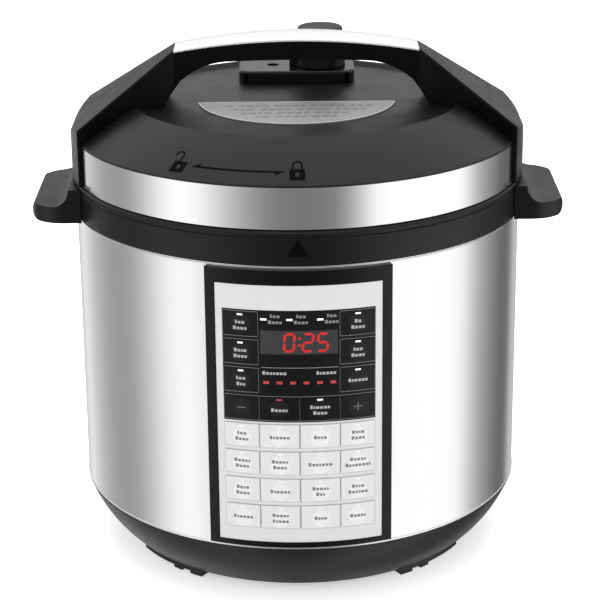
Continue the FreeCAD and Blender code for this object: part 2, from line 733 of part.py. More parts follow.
def make_sensor():
    """Sprung cap that presses a thermostat against the pot, and its coil spring."""
    inner_top = f"({CAP_TOP} - {CAP_WALL})"
    keep(turned("cap", [
        (f"sensor_radius - {CAP_WALL}", f"{CAP_TOP} - sensor_cap_height"),
        ("sensor_radius", f"{CAP_TOP} - sensor_cap_height"),
        ("sensor_radius", f"{CAP_TOP} - 1"),
        ("sensor_radius - 1", CAP_TOP),
        ("0", CAP_TOP),
        ("0", inner_top),
        (f"sensor_radius - {CAP_WALL}", inner_top),
    ]), "sensor_cap")
    wire, radius = value("spring_wire"), value("spring_radius")
    low = value("locking_bottom - well_depth + locking_wall + seat_gap + spring_wire")
    height = value(f"{inner_top} - seat_gap - spring_wire") - low
    helix = Part.makeHelix(height / value("spring_turns"), height, radius)
    section = Part.Wire(Part.Circle(Vector(radius, 0, 0), Vector(0, 1, 0), wire).toShape())
    spring = doc.addObject("Part::Feature", "spring")
    spring.Shape = Part.Wire(helix.Edges).makePipeShell([section], True, True)
    spring.Placement.Base = Vector(0, 0, low)
    keep(spring, "sensor_spring")


def make_inner_pot():
    """Removable cooking pot with a rolled rim."""
    keep(turned("cooking_pot", [
        ("0", POT_BOTTOM),
        ("pot_radius - pot_corner", POT_BOTTOM, "pot_corner"),
        ("pot_radius", f"{POT_BOTTOM} + pot_corner"),
        ("pot_radius", f"{RIM_TOP} - pot_rim_thickness"),
        ("pot_radius + pot_rim", f"{RIM_TOP} - pot_rim_thickness"),
        ("pot_radius + pot_rim", RIM_TOP),
        ("pot_radius - pot_wall", RIM_TOP),
        ("pot_radius - pot_wall", f"{POT_BOTTOM} + pot_corner", "-(pot_corner - pot_wall)"),
        ("pot_radius - pot_corner", f"{POT_BOTTOM} + pot_wall"),
        ("0", f"{POT_BOTTOM} + pot_wall"),
    ]), "inner_pot")


# ---------------------------------------------------------------- control panel
KEY_NAMES = {
    (7, 0): "cancel", (6, 0): "delay", (5, 0): "time",
    (7, 3): "start", (6, 3): "warm", (5, 3): "manual",
    (4, 0): "minus", (4, 1): "adjust", (4, 2): "pressure", (4, 3): "plus",
}
for key_row in range(4):
    for key_column in range(4):
        KEY_NAMES[(key_row, key_column)] = f"program_{(3 - key_row) * 4 + key_column + 1}"

FRAME_HALF = f"({BEZEL_BACK} * sin(key_half_field / {SHELL_RADIUS} * 1 rad) + 1)"
FRAME_OUTER = f"({FRAME_HALF} + frame_wall)"


def key_edges(row, column):
    """Formulas for a key's bottom, height and left and right arc lengths."""
    margin = "(key_web / 2 + key_gap)"
    return (
        f"({KEYS_BOTTOM} + {row} * {ROW_PITCH})",
        f"({ROW_PITCH} - key_strip)",
        f"({COLUMN_EDGES[column]} + {margin})",
        f"({COLUMN_EDGES[column + 1]} - {margin})",
    )


def make_panel():
    """Curved frame, printed overlay, display window and the sprung keys."""
    half = "bezel_half_width"
    plate = front_sector("bezel_plate", BEZEL_BACK, BEZEL_FRONT, BEZEL_BOTTOM,
                         f"{BEZEL_TOP} - {BEZEL_BOTTOM}", f"-{half}", half)
    pocket = front_sector(
        "bezel_pocket", f"{BEZEL_BACK} + bezel_floor", f"{BEZEL_FRONT} + 1",
        f"{OVERLAY_BOTTOM} - seat_gap", f"{OVERLAY_TOP} - {OVERLAY_BOTTOM} + seat_gap * 2",
        "-(overlay_half_width + seat_gap)", "overlay_half_width + seat_gap",
    )
    opening = front_sector(
        "bezel_opening", f"{BEZEL_BACK} - 1", f"{BEZEL_FRONT} + 1", f"{KEYS_BOTTOM} - slide_gap",
        f"{KEYS_TOP} - {KEYS_BOTTOM} + slide_gap * 2",
        "-(key_half_field + slide_gap)", "key_half_field + slide_gap",
    )
    depth = f"({SHELL_RADIUS} - {BOARD_FRONT} - seat_gap)"
    low, tall = f"({KEYS_BOTTOM} - 1)", f"({KEYS_TOP} - {KEYS_BOTTOM} + 2)"
    outside = block("frame_outside", f"-{FRAME_OUTER}", f"-{SHELL_RADIUS} - 1",
                    f"{low} - frame_wall", f"{FRAME_OUTER} * 2", f"{depth} + 1",
                    f"{tall} + frame_wall * 2")
    inside = block("frame_inside", f"-{FRAME_HALF}", f"-{SHELL_RADIUS} - 2", low,
                   f"{FRAME_HALF} * 2", f"{depth} + 4", tall)
    round_front = cylinder("frame_front", f"{BEZEL_BACK} + bezel_floor / 2", "400")
    frame = overlap("frame_trimmed", cut("frame_tube", outside, inside), round_front)
    keep(join("bezel", cut("bezel_front", plate, pocket, opening), frame), "panel_bezel")

    sheet_film = front_sector(
        "film", OVERLAY_BACK, OVERLAY_FRONT, OVERLAY_BOTTOM, f"{OVERLAY_TOP} - {OVERLAY_BOTTOM}",
        "-overlay_half_width", "overlay_half_width",
    )
    cutouts = [front_sector(
        "window_cutout", f"{OVERLAY_BACK} - 1", f"{OVERLAY_FRONT} + 1", WINDOW_BOTTOM,
        "window_height", "-window_half_width", "window_half_width",
    )]
    for (row, column), name in KEY_NAMES.items():
        bottom, height, left, right = key_edges(row, column)
        cutouts.append(front_sector(
            f"cutout_{name}", f"{OVERLAY_BACK} - 1", f"{OVERLAY_FRONT} + 1",
            f"{bottom} - key_gap", f"{height} + key_gap * 2",
            f"{left} - key_gap", f"{right} + key_gap",
        ))
    keep(cut("film_finished", sheet_film, *cutouts), "panel_overlay")
    for (row, column), name in KEY_NAMES.items():
        bottom, height, left, right = key_edges(row, column)
        keep(front_sector(f"tile_{name}", KEY_BACK, f"{KEY_BACK} + key_thickness",
                          bottom, height, left, right), f"key_{name}")
    keep(front_sector(
        "window_lens", OVERLAY_BACK, f"{OVERLAY_FRONT} + 0.1", f"{WINDOW_BOTTOM} + key_gap",
        "window_height - key_gap * 2", "-(window_half_width - key_gap)",
        "window_half_width - key_gap",
    ), "display_window")


POST_RADIUS = 1.75


def make_panel_electronics():
    """Control board with a switch post behind every key, and the display module."""
    posts = [block(
        "board", f"-{FRAME_OUTER}", f"-{BOARD_FRONT}", f"{KEYS_BOTTOM} - 2",
        f"{FRAME_OUTER} * 2", "board_thickness", f"{KEYS_TOP} - {KEYS_BOTTOM} + 4",
    )]
    reach = f"({KEY_BACK} - key_travel - seat_gap)"
    for (row, column), name in KEY_NAMES.items():
        bottom, height, left, right = key_edges(row, column)
        across = f"({BEZEL_BACK} * sin(({left} + {right}) / 2 / {SHELL_RADIUS} * 1 rad))"
        far = f"sqrt({reach}^2 - (abs({across}) + {POST_RADIUS})^2)"
        post = doc.addObject("Part::Cylinder", f"switch_{name}")
        post.Placement.Rotation = FreeCAD.Rotation(Vector(1, 0, 0), 90)
        bind(post, Radius=str(POST_RADIUS), Height=f"{far} - {BOARD_FRONT}")
        posts.append(place(post, across, f"-{BOARD_FRONT}", f"{bottom} + {height} / 2"))
    keep(join("board_with_switches", *posts), "control_board")
    keep(block(
        "display_module", "-(window_half_width - 1.6)", f"-({SHELL_BORE} - 0.7)",
        WINDOW_BOTTOM, "(window_half_width - 1.6) * 2",
        f"{SHELL_BORE} - 0.7 - {BOARD_FRONT} - seat_gap", "window_height",
    ), "led_display")


# ---------------------------------------------------------------- mains side, screws, cup
def make_power_board():
    """Power board on the tray's posts, with its capacitor, relay and transformer."""
    level = f"({FLOOR_TOP} + power_board_lift)"
    top = f"({level} + board_thickness)"
    middle = f"{BOARD_CENTRE}"
    keep(join(
        "power_parts",
        block("power_plate", "-power_board_width / 2", f"{middle} - power_board_length / 2",
              level, "power_board_width", "power_board_length", "board_thickness"),
        cylinder("capacitor", "8", "22", "-power_board_width / 2 + 14", f"{middle} + 14", top),
        block("relay", "-power_board_width / 2 + 8", f"{middle} - 22", top, "19", "16", "16"),
        block("transformer", "power_board_width / 2 - 42", f"{middle} - 14", top, "32", "28", "21"),
        block("terminals", "-9", f"{middle} + 16", top, "18", "9", "11"),
    ), "power_board")


def make_power_socket():
    """Three-blade appliance inlet in the back of the casing."""
    face = f"({SHELL_RADIUS} + 3.5)"
    flange = cut(
        "socket_flange_trimmed",
        block("socket_flange", "-(socket_width / 2 + socket_flange)", f"{face} - 6",
              f"{SOCKET_LEVEL} - socket_height / 2 - socket_flange",
              "socket_width + socket_flange * 2", "6", "socket_height + socket_flange * 2"),
        cylinder("shell_space", f"{SHELL_RADIUS} + seat_gap", "400"),
    )
    box = block("socket_box", "-socket_width / 2", f"{face} - socket_depth",
                f"{SOCKET_LEVEL} - socket_height / 2", "socket_width",
                "socket_depth - 1", "socket_height")
    pocket = block(
        "socket_pocket", "-(socket_width / 2 - socket_wall)", f"{face} - socket_pocket",
        f"{SOCKET_LEVEL} - socket_height / 2 + socket_wall", "socket_width - socket_wall * 2",
        "socket_pocket + 2", "socket_height - socket_wall * 2",
    )
    blades = [
        block(f"blade_{number}", f"{x} - 1", f"{face} - socket_pocket - 1", f"{SOCKET_LEVEL} + {z} - 2",
              "2", "socket_pocket / 2 + 1", "4")
        for number, (x, z) in enumerate(((-7, -1.5), (0, 1.5), (7, -1.5)))
    ]
    keep(join("socket", cut("socket_shell", join("socket_solid", flange, box), pocket), *blades),
         "power_socket")


def make_base_screws():
    """Four screws from below that hold the tray to the locking pot's studs."""
    screws = []
    for number, angle in enumerate(STUD_ANGLES):
        x, y = at_angle("stud_circle", angle)
        screws.append(join(
            f"base_screw_{number}",
            cylinder(f"base_head_{number}", "screw_head", "screw_head_height",
                     x, y, f"{SCREW_LEDGE} - screw_head_height"),
            cylinder(f"base_shank_{number}", "screw_radius - 0.05", "tray_screw_length",
                     x, y, f"{SCREW_LEDGE} - 0.5"),
        ))
    keep(group("four_base_screws", *screws), "base_screws")


def make_condensation_cup():
    """Clear cup that slides on the collar's rails and catches the rim's drips."""
    front = f"({COLLAR_RADIUS} + slide_gap * 2)"
    back = f"({front} + cup_depth)"

    def rounded_box(name, inset, bottom, height):
        low, high = f"({front} + {inset})", f"({back} - {inset})"
        half = f"(cup_half_width - {inset})"
        square = [(f"-{half}", low), (half, low), (half, high), (f"-{half}", high)]
        corners = []
        for index, corner in enumerate(square):
            first, last = rounding(square[index - 1], corner, square[(index + 1) % 4],
                                   f"(cup_corner - {inset})")
            corners += [(*first, f"cup_corner - {inset}"), last]
        return padded(name, corners, bottom, height)

    bottom = f"({CUP_TOP} - cup_height)"
    outside = rounded_box("cup_outside", "0", bottom, "cup_height")
    inside = rounded_box("cup_inside", "cup_wall", f"{bottom} + cup_wall", "cup_height")
    wings = [
        block(f"cup_wing_{side}", f"{side} * (cup_half_width + (cup_flange_reach - 1) / 2)"
              " - (cup_flange_reach + 1) / 2", f"{front} + cup_corner", FLANGE_BOTTOM,
              "cup_flange_reach + 1", "cup_depth - cup_corner * 2", "cup_flange")
        for side in (-1, 1)
    ]
    notch = block("cup_notch", "-spout_half_width", f"{front} - 1", f"{COLLAR_FLOOR} - 0.3",
                  "spout_half_width * 2", "cup_wall + 2", "10")
    keep(cut("cup_finished", join("cup_solid", outside, *wings), inside, notch),
         "condensation_cup")


# ---------------------------------------------------------------- lid
SEAL_OUTER = f"({LOCKING_BORE} - 0.5)"
SEAL_INNER = f"({SEAL_OUTER} - seal_width)"
LID_SCREW_ANGLES = (45, 135, 225, 315)
LID_SCREW_CIRCLE = f"({COVER_RADIUS} - lid_screw_inset)"
LEFT, RIGHT = "-valve_offset", "valve_offset"
PIPE_TOP = f"({HOUSING_TOP} + 14)"
NUT_RADIUS = 9.0


def make_sealing_ring():
    """Silicone ring with an inward groove, between the pot's rim and the lid."""
    keep(turned("seal", [
        (SEAL_INNER, SEAL_BOTTOM), (SEAL_OUTER, SEAL_BOTTOM),
        (SEAL_OUTER, SEAL_TOP), (SEAL_INNER, SEAL_TOP),
        (SEAL_INNER, f"{SEAL_TOP} - seal_lip"),
        (f"{SEAL_OUTER} - 3", f"{SEAL_TOP} - seal_lip"),
        (f"{SEAL_OUTER} - 3", f"{SEAL_BOTTOM} + seal_lip"),
        (SEAL_INNER, f"{SEAL_BOTTOM} + seal_lip"),
    ]), "sealing_ring")


def make_ring_rack():
    """Wire ring that holds the seal under the lid, with its spokes and posts."""
    circle = f"({SEAL_INNER} + 2.9)"
    post_circle = f"({SEAL_INNER} - rack_wire - 0.7)"
    level = f"(({SEAL_BOTTOM} + {SEAL_TOP}) / 2)"
    hoop = doc.addObject("Part::Torus", "rack_hoop")
    bind(hoop, Radius1=circle, Radius2="rack_wire")
    place(hoop, z=level)
    wires = [hoop]
    for number in range(6):
        angle = 30 + number * 60
        x, y = at_angle(post_circle, angle)
        wires.append(cylinder(f"rack_post_{number}", "rack_wire",
                              f"{LID_PLATE} - seat_gap - {level} + rack_wire", x, y,
                              f"{level} - rack_wire"))
        spoke = doc.addObject("Part::Cylinder", f"rack_spoke_{number}")
        way = Vector(math.cos(math.radians(angle)), math.sin(math.radians(angle)), 0)
        spoke.Placement.Rotation = FreeCAD.Rotation(Vector(0, 0, 1), way)
        bind(spoke, Radius="rack_wire * 0.8", Height=f"{circle} - {post_circle}")
        wires.append(place(spoke, x, y, level))
    keep(join("rack", *wires), "ring_rack")


def make_pressure_lid():
    """Steel lid: domed plate, skirt and the lugs that turn under the pot's lugs."""
    slope_end = "(lid_dome_radius + lid_dome_slope)"
    plate = turned("lid_plate", [
        ("0", LID_DOME),
        ("lid_dome_radius", LID_DOME),
        (slope_end, LID_PLATE),
        (SKIRT_BORE, LID_PLATE),
        (SKIRT_BORE, LID_LUG_BOTTOM),
        (SKIRT_RADIUS, LID_LUG_BOTTOM),
        (SKIRT_RADIUS, LID_PLATE),
        (COVER_RADIUS, LID_PLATE),
        (COVER_RADIUS, LID_PLATE_TOP),
        (f"{slope_end} + 0.5", LID_PLATE_TOP),
        ("lid_dome_radius + 0.5", f"{LID_DOME} + lid_wall"),
        ("0", f"{LID_DOME} + lid_wall"),
    ])
    lugs = [
        sector(f"lid_lug_{number}", f"{SKIRT_BORE} - lid_lug_reach", f"{SKIRT_BORE} + lid_wall / 2",
               LID_LUG_BOTTOM, "lug_thickness",
               f"{number} * 360 / lug_count - lid_lug_sweep / 2", "lid_lug_sweep")
        for number in range(SIZES["lug_count"])
    ]
    holes = [
        cylinder("lid_pipe_hole", "pipe_radius + seat_gap", "30", RIGHT, "valve_back",
                 f"{LID_DOME} - 10"),
        cylinder("lid_float_hole", "float_radius + slide_gap", "30", LEFT, "valve_back",
                 f"{LID_DOME} - 10"),
    ]
    for number, angle in enumerate(LID_SCREW_ANGLES):
        x, y = at_angle(LID_SCREW_CIRCLE, angle)
        holes.append(cylinder(f"lid_screw_hole_{number}", "screw_radius + seat_gap", "10",
                              x, y, f"{LID_PLATE} - 4"))
    keep(cut("lid_finished", join("lid_solid", plate, *lugs), *holes), "pressure_lid")


def make_lid_band():
    """Polished steel band round the lid, turned in along its lower edge."""
    edge = 0.6
    keep(turned("band", [
        (f"{BAND_BORE} - band_lip", BAND_BOTTOM),
        (f"{BAND_RADIUS} - {edge}", BAND_BOTTOM, f"{edge}"),
        (BAND_RADIUS, f"{BAND_BOTTOM} + {edge}"),
        (BAND_RADIUS, BAND_TOP),
        (BAND_BORE, BAND_TOP),
        (BAND_BORE, f"{BAND_BOTTOM} + band_wall"),
        (f"{BAND_BORE} - band_lip", f"{BAND_BOTTOM} + band_wall"),
    ]), "lid_band")


COVER_FOOT = f"({BAND_TOP} + seat_gap)"


def make_lid_cover():
    """Moulded cover: sloping ring, seam and sunk plateau, with four screw bosses."""
    inner = f"({COVER_RADIUS} - cover_wall)"
    moulding = turned("cover_moulding", [
        (inner, f"{LID_PLATE_TOP} + seat_gap"),
        (COVER_RADIUS, f"{LID_PLATE_TOP} + seat_gap"),
        (COVER_RADIUS, COVER_FOOT),
        (f"{BAND_RADIUS} - 0.1", COVER_FOOT),
        (f"{BAND_RADIUS} - 0.1", f"{COVER_FOOT} + cover_lip", "cover_curve"),
        (SEAM_RADIUS, SEAM_TOP),
        (f"{SEAM_RADIUS} - 1.2", f"{SEAM_TOP} - 0.4"),
        (PLATEAU_RADIUS, PLATEAU),
        ("0", PLATEAU),
        ("0", f"{PLATEAU} - cover_wall"),
        (f"{PLATEAU_RADIUS} + 1", f"{PLATEAU} - cover_wall"),
        (f"{SEAM_RADIUS} + 1", f"{SEAM_TOP} - cover_wall * 1.3"),
        (inner, f"{COVER_FOOT} + 0.3"),
    ])
    solids = [moulding]
    holes = [
        cylinder("cover_pipe_hole", "pipe_radius + seat_gap", "30", RIGHT, "valve_back",
                 f"{PLATEAU} - 15"),
        cylinder("cover_float_hole", "float_radius + slide_gap", "30", LEFT, "valve_back",
                 f"{PLATEAU} - 15"),
    ]
    foot = f"({LID_PLATE_TOP} + seat_gap)"
    for number, angle in enumerate(LID_SCREW_ANGLES):
        x, y = at_angle(LID_SCREW_CIRCLE, angle)
        solids.append(cylinder(f"cover_boss_{number}", "lid_boss_radius",
                               f"{COVER_FOOT} + cover_rise * 0.25 - {foot}", x, y, foot))
        holes.append(cylinder(f"cover_thread_{number}", "screw_radius",
                              "lid_screw_length", x, y, f"{foot} - 1"))
    keep(cut("cover_finished", join("cover_solid", *solids), *holes), "lid_cover")


def make_lid_screws():
    """Four screws up through the steel plate into the cover's bosses."""
    screws = []
    for number, angle in enumerate(LID_SCREW_ANGLES):
        x, y = at_angle(LID_SCREW_CIRCLE, angle)
        screws.append(join(
            f"lid_screw_{number}",
            cylinder(f"lid_head_{number}", "screw_head", "screw_head_height",
                     x, y, f"{LID_PLATE} - screw_head_height"),
            cylinder(f"lid_shank_{number}", "screw_radius - 0.05", "lid_screw_length",
                     x, y, f"{LID_PLATE} - 0.5"),
        ))
    keep(group("four_lid_screws", *screws), "lid_screws")


FIN_OUT = f"({BAND_RADIUS} + seat_gap + fin_thickness)"
FIN_BOTTOM = f"({BAND_BOTTOM} + seat_gap)"
GRIP_CURVE = "((grip_half_length^2 + grip_crown^2) / (2 * grip_crown))"
GRIP_UNDER = f"({GRIP_TOP} - grip_thickness - arch_crown)"
ARCH_CURVE = "((arch_flat^2 + arch_crown^2) / (2 * arch_crown))"
GRIP_SIDE_RISE = "(grip_half_width - grip_end_half_width)"
GRIP_SIDE_CURVE = f"((grip_half_length^2 + {GRIP_SIDE_RISE}^2) / (2 * {GRIP_SIDE_RISE}))"


def handle_plan(name):
    """The handle seen from above: waisted grip, arms that flare to the fins."""
    flare = f"({BAND_RADIUS} - fin_flare)"
    far = f"({FIN_OUT} + 2)"
    return padded(name, [
        (far, "-fin_half_width"), (far, "fin_half_width"), (flare, "fin_half_width"),
        ("grip_half_length", "grip_end_half_width", GRIP_SIDE_CURVE),
        ("-grip_half_length", "grip_end_half_width"),
        (f"-{flare}", "fin_half_width"), (f"-{far}", "fin_half_width"),
        (f"-{far}", "-fin_half_width"), (f"-{flare}", "-fin_half_width"),
        ("-grip_half_length", "-grip_end_half_width", GRIP_SIDE_CURVE),
        ("grip_half_length", "-grip_end_half_width"),
        (flare, "-fin_half_width"),
    ], f"{FIN_BOTTOM} - 5", f"{GRIP_TOP} - {FIN_BOTTOM} + 10")


def make_lid_handle():
    """Arched handle whose ends wrap down over the band, and its bright top trim."""
    shoulder = (FIN_OUT, f"({BAND_TOP} + fin_shoulder)")
    foot, grip = (FIN_OUT, FIN_BOTTOM), ("grip_half_length", GRIP_END)
    right_low, right_high = rounding(foot, shoulder, grip, "fin_corner")

    def mirrored(point):
        return f"-({point[0]})", point[1]

    profile = thickened("handle_profile", [
        foot, (*right_low, "fin_corner"), right_high, grip,
        ("grip_half_length", f"{GRIP_END} - trim_thickness", GRIP_CURVE),
        ("-grip_half_length", f"{GRIP_END} - trim_thickness"),
        mirrored(grip), (*mirrored(right_high), "fin_corner"), mirrored(right_low),
        mirrored(foot),
        ("-arch_half_length", FIN_BOTTOM),
        ("-arch_half_length", f"{PLATEAU} + arch_foot"),
        ("-arch_knee", f"{PLATEAU} + arch_knee_rise", "-arch_curve"),
        ("-arch_flat", GRIP_UNDER, f"-{ARCH_CURVE}"),
        ("arch_flat", GRIP_UNDER, "-arch_curve"),
        ("arch_knee", f"{PLATEAU} + arch_knee_rise"),
        ("arch_half_length", f"{PLATEAU} + arch_foot"),
        ("arch_half_length", FIN_BOTTOM),
    ], "fin_half_width * 2 + 4")
    outside = cylinder("fin_round", FIN_OUT, "400")
    seat = turned("handle_seat", [
        ("0", f"{FIN_BOTTOM} - 5"),
        (f"{BAND_RADIUS} + seat_gap", f"{FIN_BOTTOM} - 5"),
        (f"{BAND_RADIUS} + seat_gap", f"{COVER_FOOT} + cover_lip + seat_gap", "cover_curve"),
        (f"{SEAM_RADIUS} + seat_gap", f"{SEAM_TOP} + seat_gap"),
        (f"{SEAM_RADIUS} - 1.2", f"{SEAM_TOP} - 0.4 + seat_gap"),
        (PLATEAU_RADIUS, f"{PLATEAU} + seat_gap"),
        ("0", f"{PLATEAU} + seat_gap"),
    ])
    blank = overlap("handle_blank", profile, handle_plan("handle_plan"), outside)
    arm_top, arch_top = value(GRIP_END), value(f"{GRIP_UNDER} + arch_crown")
    arch_low, fin_start = value(f"{PLATEAU} + arch_foot"), value(f"{BAND_RADIUS} - fin_flare")
    arm_rise = value(f"{GRIP_END} - {BAND_TOP}") / 2

    def soft_edge(box):
        """The arms' long top edges and the lengthwise edges of the arch."""
        if min(abs(box.XMin), abs(box.XMax)) > fin_start - 1:
            return False
        if box.ZMax > arm_top - 0.1:
            return min(box.ZLength, box.YLength) > arm_rise
        arch_edge = box.XLength > box.YLength and box.XLength > 5
        return arch_edge and arch_low - 0.1 < box.ZMin and box.ZMax < arch_top + 0.1

    finished = cut("handle_seated", blank, seat)
    keep(rounded("handle_finished", finished, "handle_edge", soft_edge), "lid_handle")

    end = "(grip_half_length - seat_gap)"
    strip = thickened("trim_strip", [
        (end, GRIP_END, GRIP_CURVE),
        (f"-{end}", GRIP_END),
        (f"-{end}", f"{GRIP_END} - trim_thickness + 0.05", f"-{GRIP_CURVE}"),
        (end, f"{GRIP_END} - trim_thickness + 0.05"),
    ], "fin_half_width * 2")
    blank = overlap("trim_blank", strip, handle_plan("trim_plan"))
    crown = value(f"{GRIP_END} + grip_crown")
    keep(rounded("trim", blank, "trim_edge",
                 lambda box: box.XLength > 10 and box.ZMax > crown - 1), "handle_trim")


def make_caution_plate():
    """Thin plain plate, a segment of a disc, let in at the front of the plateau."""
    half = "sqrt(plate_radius^2 - (plate_flat - plate_offset)^2)"
    keep(padded("plate_segment", [
        (f"-{half}", "-plate_flat", "plate_radius"), (half, "-plate_flat"),
    ], f"{PLATEAU} + 0.05", "plate_thickness"), "caution_plate")


def make_valve_housing():
    """Raised block behind the grip that the steam knob and the float pin stand in."""
    low, high = "housing_front", "(housing_front + housing_depth)"
    half = "housing_half_length"
    square = [(f"-{half}", low), (half, low), (half, high), (f"-{half}", high)]
    corners = []
    for index, corner in enumerate(square):
        first, last = rounding(square[index - 1], corner, square[(index + 1) % 4],
                               "housing_corner")
        corners += [(*first, "housing_corner"), last]
    top = value(HOUSING_TOP)
    raised = rounded(
        "housing_rounded", padded("housing_block", corners, HOUSING_BOTTOM, "housing_height"),
        "housing_edge", lambda box: box.ZMin > top - 0.1,
    )
    keep(cut(
        "housing_finished", raised,
        cylinder("housing_pipe_hole", "pipe_radius + slide_gap", "60", RIGHT, "valve_back",
                 f"{PLATEAU} - 20"),
        cylinder("housing_float_hole", "float_head + slide_gap", "60", LEFT, "valve_back",
                 f"{PLATEAU} - 20"),
    ), "valve_housing")


def make_steam_valve():
    """Steam pipe through the lid, the knob over it and the shield round its foot."""
    nut = 3.8
    pipe = turned("pipe", [
        ("pipe_bore", f"{LID_DOME} - 9.5"),
        ("pipe_radius", f"{LID_DOME} - 9.5"),
        ("pipe_radius", f"{LID_DOME} - {nut}"),
        (f"{NUT_RADIUS}", f"{LID_DOME} - {nut}"),
        (f"{NUT_RADIUS}", f"{LID_DOME} - seat_gap"),
        ("pipe_radius", f"{LID_DOME} - seat_gap"),
        ("pipe_radius", PIPE_TOP),
        ("pipe_bore", PIPE_TOP),
    ])
    keep(place(pipe, RIGHT, "valve_back"), "steam_pipe")
    bottom = f"({HOUSING_TOP} + slide_gap)"
    top = f"({bottom} + knob_height)"
    bore = "(pipe_radius + 0.08)"
    dome = turned("knob_dome", [
        (bore, bottom), ("knob_radius", bottom), ("knob_radius - 0.4", f"{bottom} + 6"),
        ("knob_top_radius", f"{top} - 2", "2"), ("knob_top_radius - 2", top),
        ("0", top), ("0", f"{PIPE_TOP} + 1"), (bore, f"{PIPE_TOP} + 1"),
    ])
    pointer = block("knob_pointer", f"{RIGHT} - knob_radius - 3.5", "valve_back - 3", bottom,
                    "6", "6", "9")
    keep(join("knob", place(dome, RIGHT, "valve_back"), pointer), "steam_knob")
    rim = 0.6
    low = f"({LID_DOME} - {rim} - shield_height)"
    cup = turned("shield_cup", [
        ("0", low), ("shield_radius", low), ("shield_radius", f"{low} + shield_height"),
        (f"{NUT_RADIUS} + slide_gap", f"{low} + shield_height"),
        (f"{NUT_RADIUS} + slide_gap", f"{low} + shield_height - shield_wall"),
        ("shield_radius - shield_wall", f"{low} + shield_height - shield_wall"),
        ("shield_radius - shield_wall", f"{low} + shield_wall"),
        ("0", f"{low} + shield_wall"),
    ])
    place(cup, RIGHT, "valve_back")
    slots = []
    for number in range(6):
        slot = block(f"shield_slot_{number}", RIGHT, "valve_back", f"{low} + 3",
                     "shield_radius + 1", "1.6", "shield_height - 6")
        slots.append(place(slot, turn=str(number * 60)))
    keep(cut("shield", cup, *slots), "anti_block_shield")


def make_float_valve():
    """Float pin that rises under pressure and the silicone cap that then seals it."""
    seal_top = f"({LID_DOME} - float_travel - slide_gap)"
    cap_height = 3.0
    low_head = f"({seal_top} - {cap_height} - 0.1)"
    pin = turned("pin", [
        ("0", f"{low_head} - 4"),
        ("float_head", f"{low_head} - 4"),
        ("float_head", low_head),
        ("float_radius", low_head),
        ("float_radius", f"{PLATEAU} + slide_gap"),
        ("float_head", f"{PLATEAU} + slide_gap"),
        ("float_head", f"{HOUSING_TOP} - 1.5"),
        ("0", f"{HOUSING_TOP} - 1.5"),
    ])
    keep(place(pin, LEFT, "valve_back"), "float_pin")
    cap = turned("float_cap", [
        ("float_radius + 0.1", f"{seal_top} - {cap_height}"),
        ("float_seal_radius", f"{seal_top} - {cap_height}"),
        ("float_seal_radius", f"{seal_top} - 0.8"),
        ("float_seal_radius - 0.8", seal_top),
        ("float_radius + 0.1", seal_top),
    ])
    keep(place(cap, LEFT, "valve_back"), "float_seal")


# ---------------------------------------------------------------- build and export
make_base_tray()
make_foot_pads()
make_outer_shell()
make_top_collar()
make_side_handles()
make_locking_pot()
make_heater_plate()
make_sensor()
make_inner_pot()
make_panel()
make_panel_electronics()
make_power_board()
make_power_socket()
make_base_screws()
make_condensation_cup()
make_sealing_ring()
make_ring_rack()
make_pressure_lid()
make_lid_band()
make_lid_cover()
make_lid_screws()
make_lid_handle()
make_caution_plate()
make_valve_housing()
make_steam_valve()
make_float_valve()
doc.recompute()

for thing in doc.Objects:
    if "Invalid" in thing.State or "Error" in thing.State:
        raise RuntimeError(f"{thing.Name} failed: {thing.State}")
for part in kept:
    if part.Shape.isNull() or not part.Shape.isValid():
        raise RuntimeError(f"{part.Label} has no valid shape")

os.makedirs("parts", exist_ok=True)
for part in kept:
    part.Shape.exportStep(f"parts/{part.Label}.step")
    box = part.Shape.BoundBox
    print(f"{part.Label:20s} {len(part.Shape.Solids):3d} solids {part.Shape.Volume / 1000:9.2f} cm3",
          f"z {box.ZMin:7.2f} to {box.ZMax:7.2f}")
print(len(kept), "sub-parts")
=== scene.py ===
import math

import bmesh
import bpy
from mathutils import Matrix, Vector
from mathutils.bvhtree import BVHTree


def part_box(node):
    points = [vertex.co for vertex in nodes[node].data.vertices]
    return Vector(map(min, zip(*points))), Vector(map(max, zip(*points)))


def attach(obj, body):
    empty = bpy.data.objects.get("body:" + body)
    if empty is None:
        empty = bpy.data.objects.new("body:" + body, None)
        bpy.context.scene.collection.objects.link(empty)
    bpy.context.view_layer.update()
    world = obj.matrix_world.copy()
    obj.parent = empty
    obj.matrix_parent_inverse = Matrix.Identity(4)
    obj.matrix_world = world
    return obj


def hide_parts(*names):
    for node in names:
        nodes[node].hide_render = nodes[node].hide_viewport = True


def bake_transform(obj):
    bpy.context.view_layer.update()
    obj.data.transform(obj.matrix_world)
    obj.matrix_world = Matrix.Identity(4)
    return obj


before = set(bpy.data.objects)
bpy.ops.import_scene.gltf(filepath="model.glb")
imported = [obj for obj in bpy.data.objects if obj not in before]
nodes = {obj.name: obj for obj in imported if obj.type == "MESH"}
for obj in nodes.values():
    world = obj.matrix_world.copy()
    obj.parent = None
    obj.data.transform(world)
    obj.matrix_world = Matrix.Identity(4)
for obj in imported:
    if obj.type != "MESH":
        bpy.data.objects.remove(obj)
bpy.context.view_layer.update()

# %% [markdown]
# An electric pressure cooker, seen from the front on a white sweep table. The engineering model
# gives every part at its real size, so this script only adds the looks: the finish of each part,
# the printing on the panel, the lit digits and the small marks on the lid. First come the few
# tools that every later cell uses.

MM = 0.001


def linear(hex_colour):
    """An sRGB hex colour as the linear RGBA that Blender's sockets take."""
    channels = [int(hex_colour[i:i + 2], 16) / 255 for i in (1, 3, 5)]
    return tuple(c / 12.92 if c <= 0.04045 else ((c + 0.055) / 1.055) ** 2.4
                 for c in channels) + (1.0,)


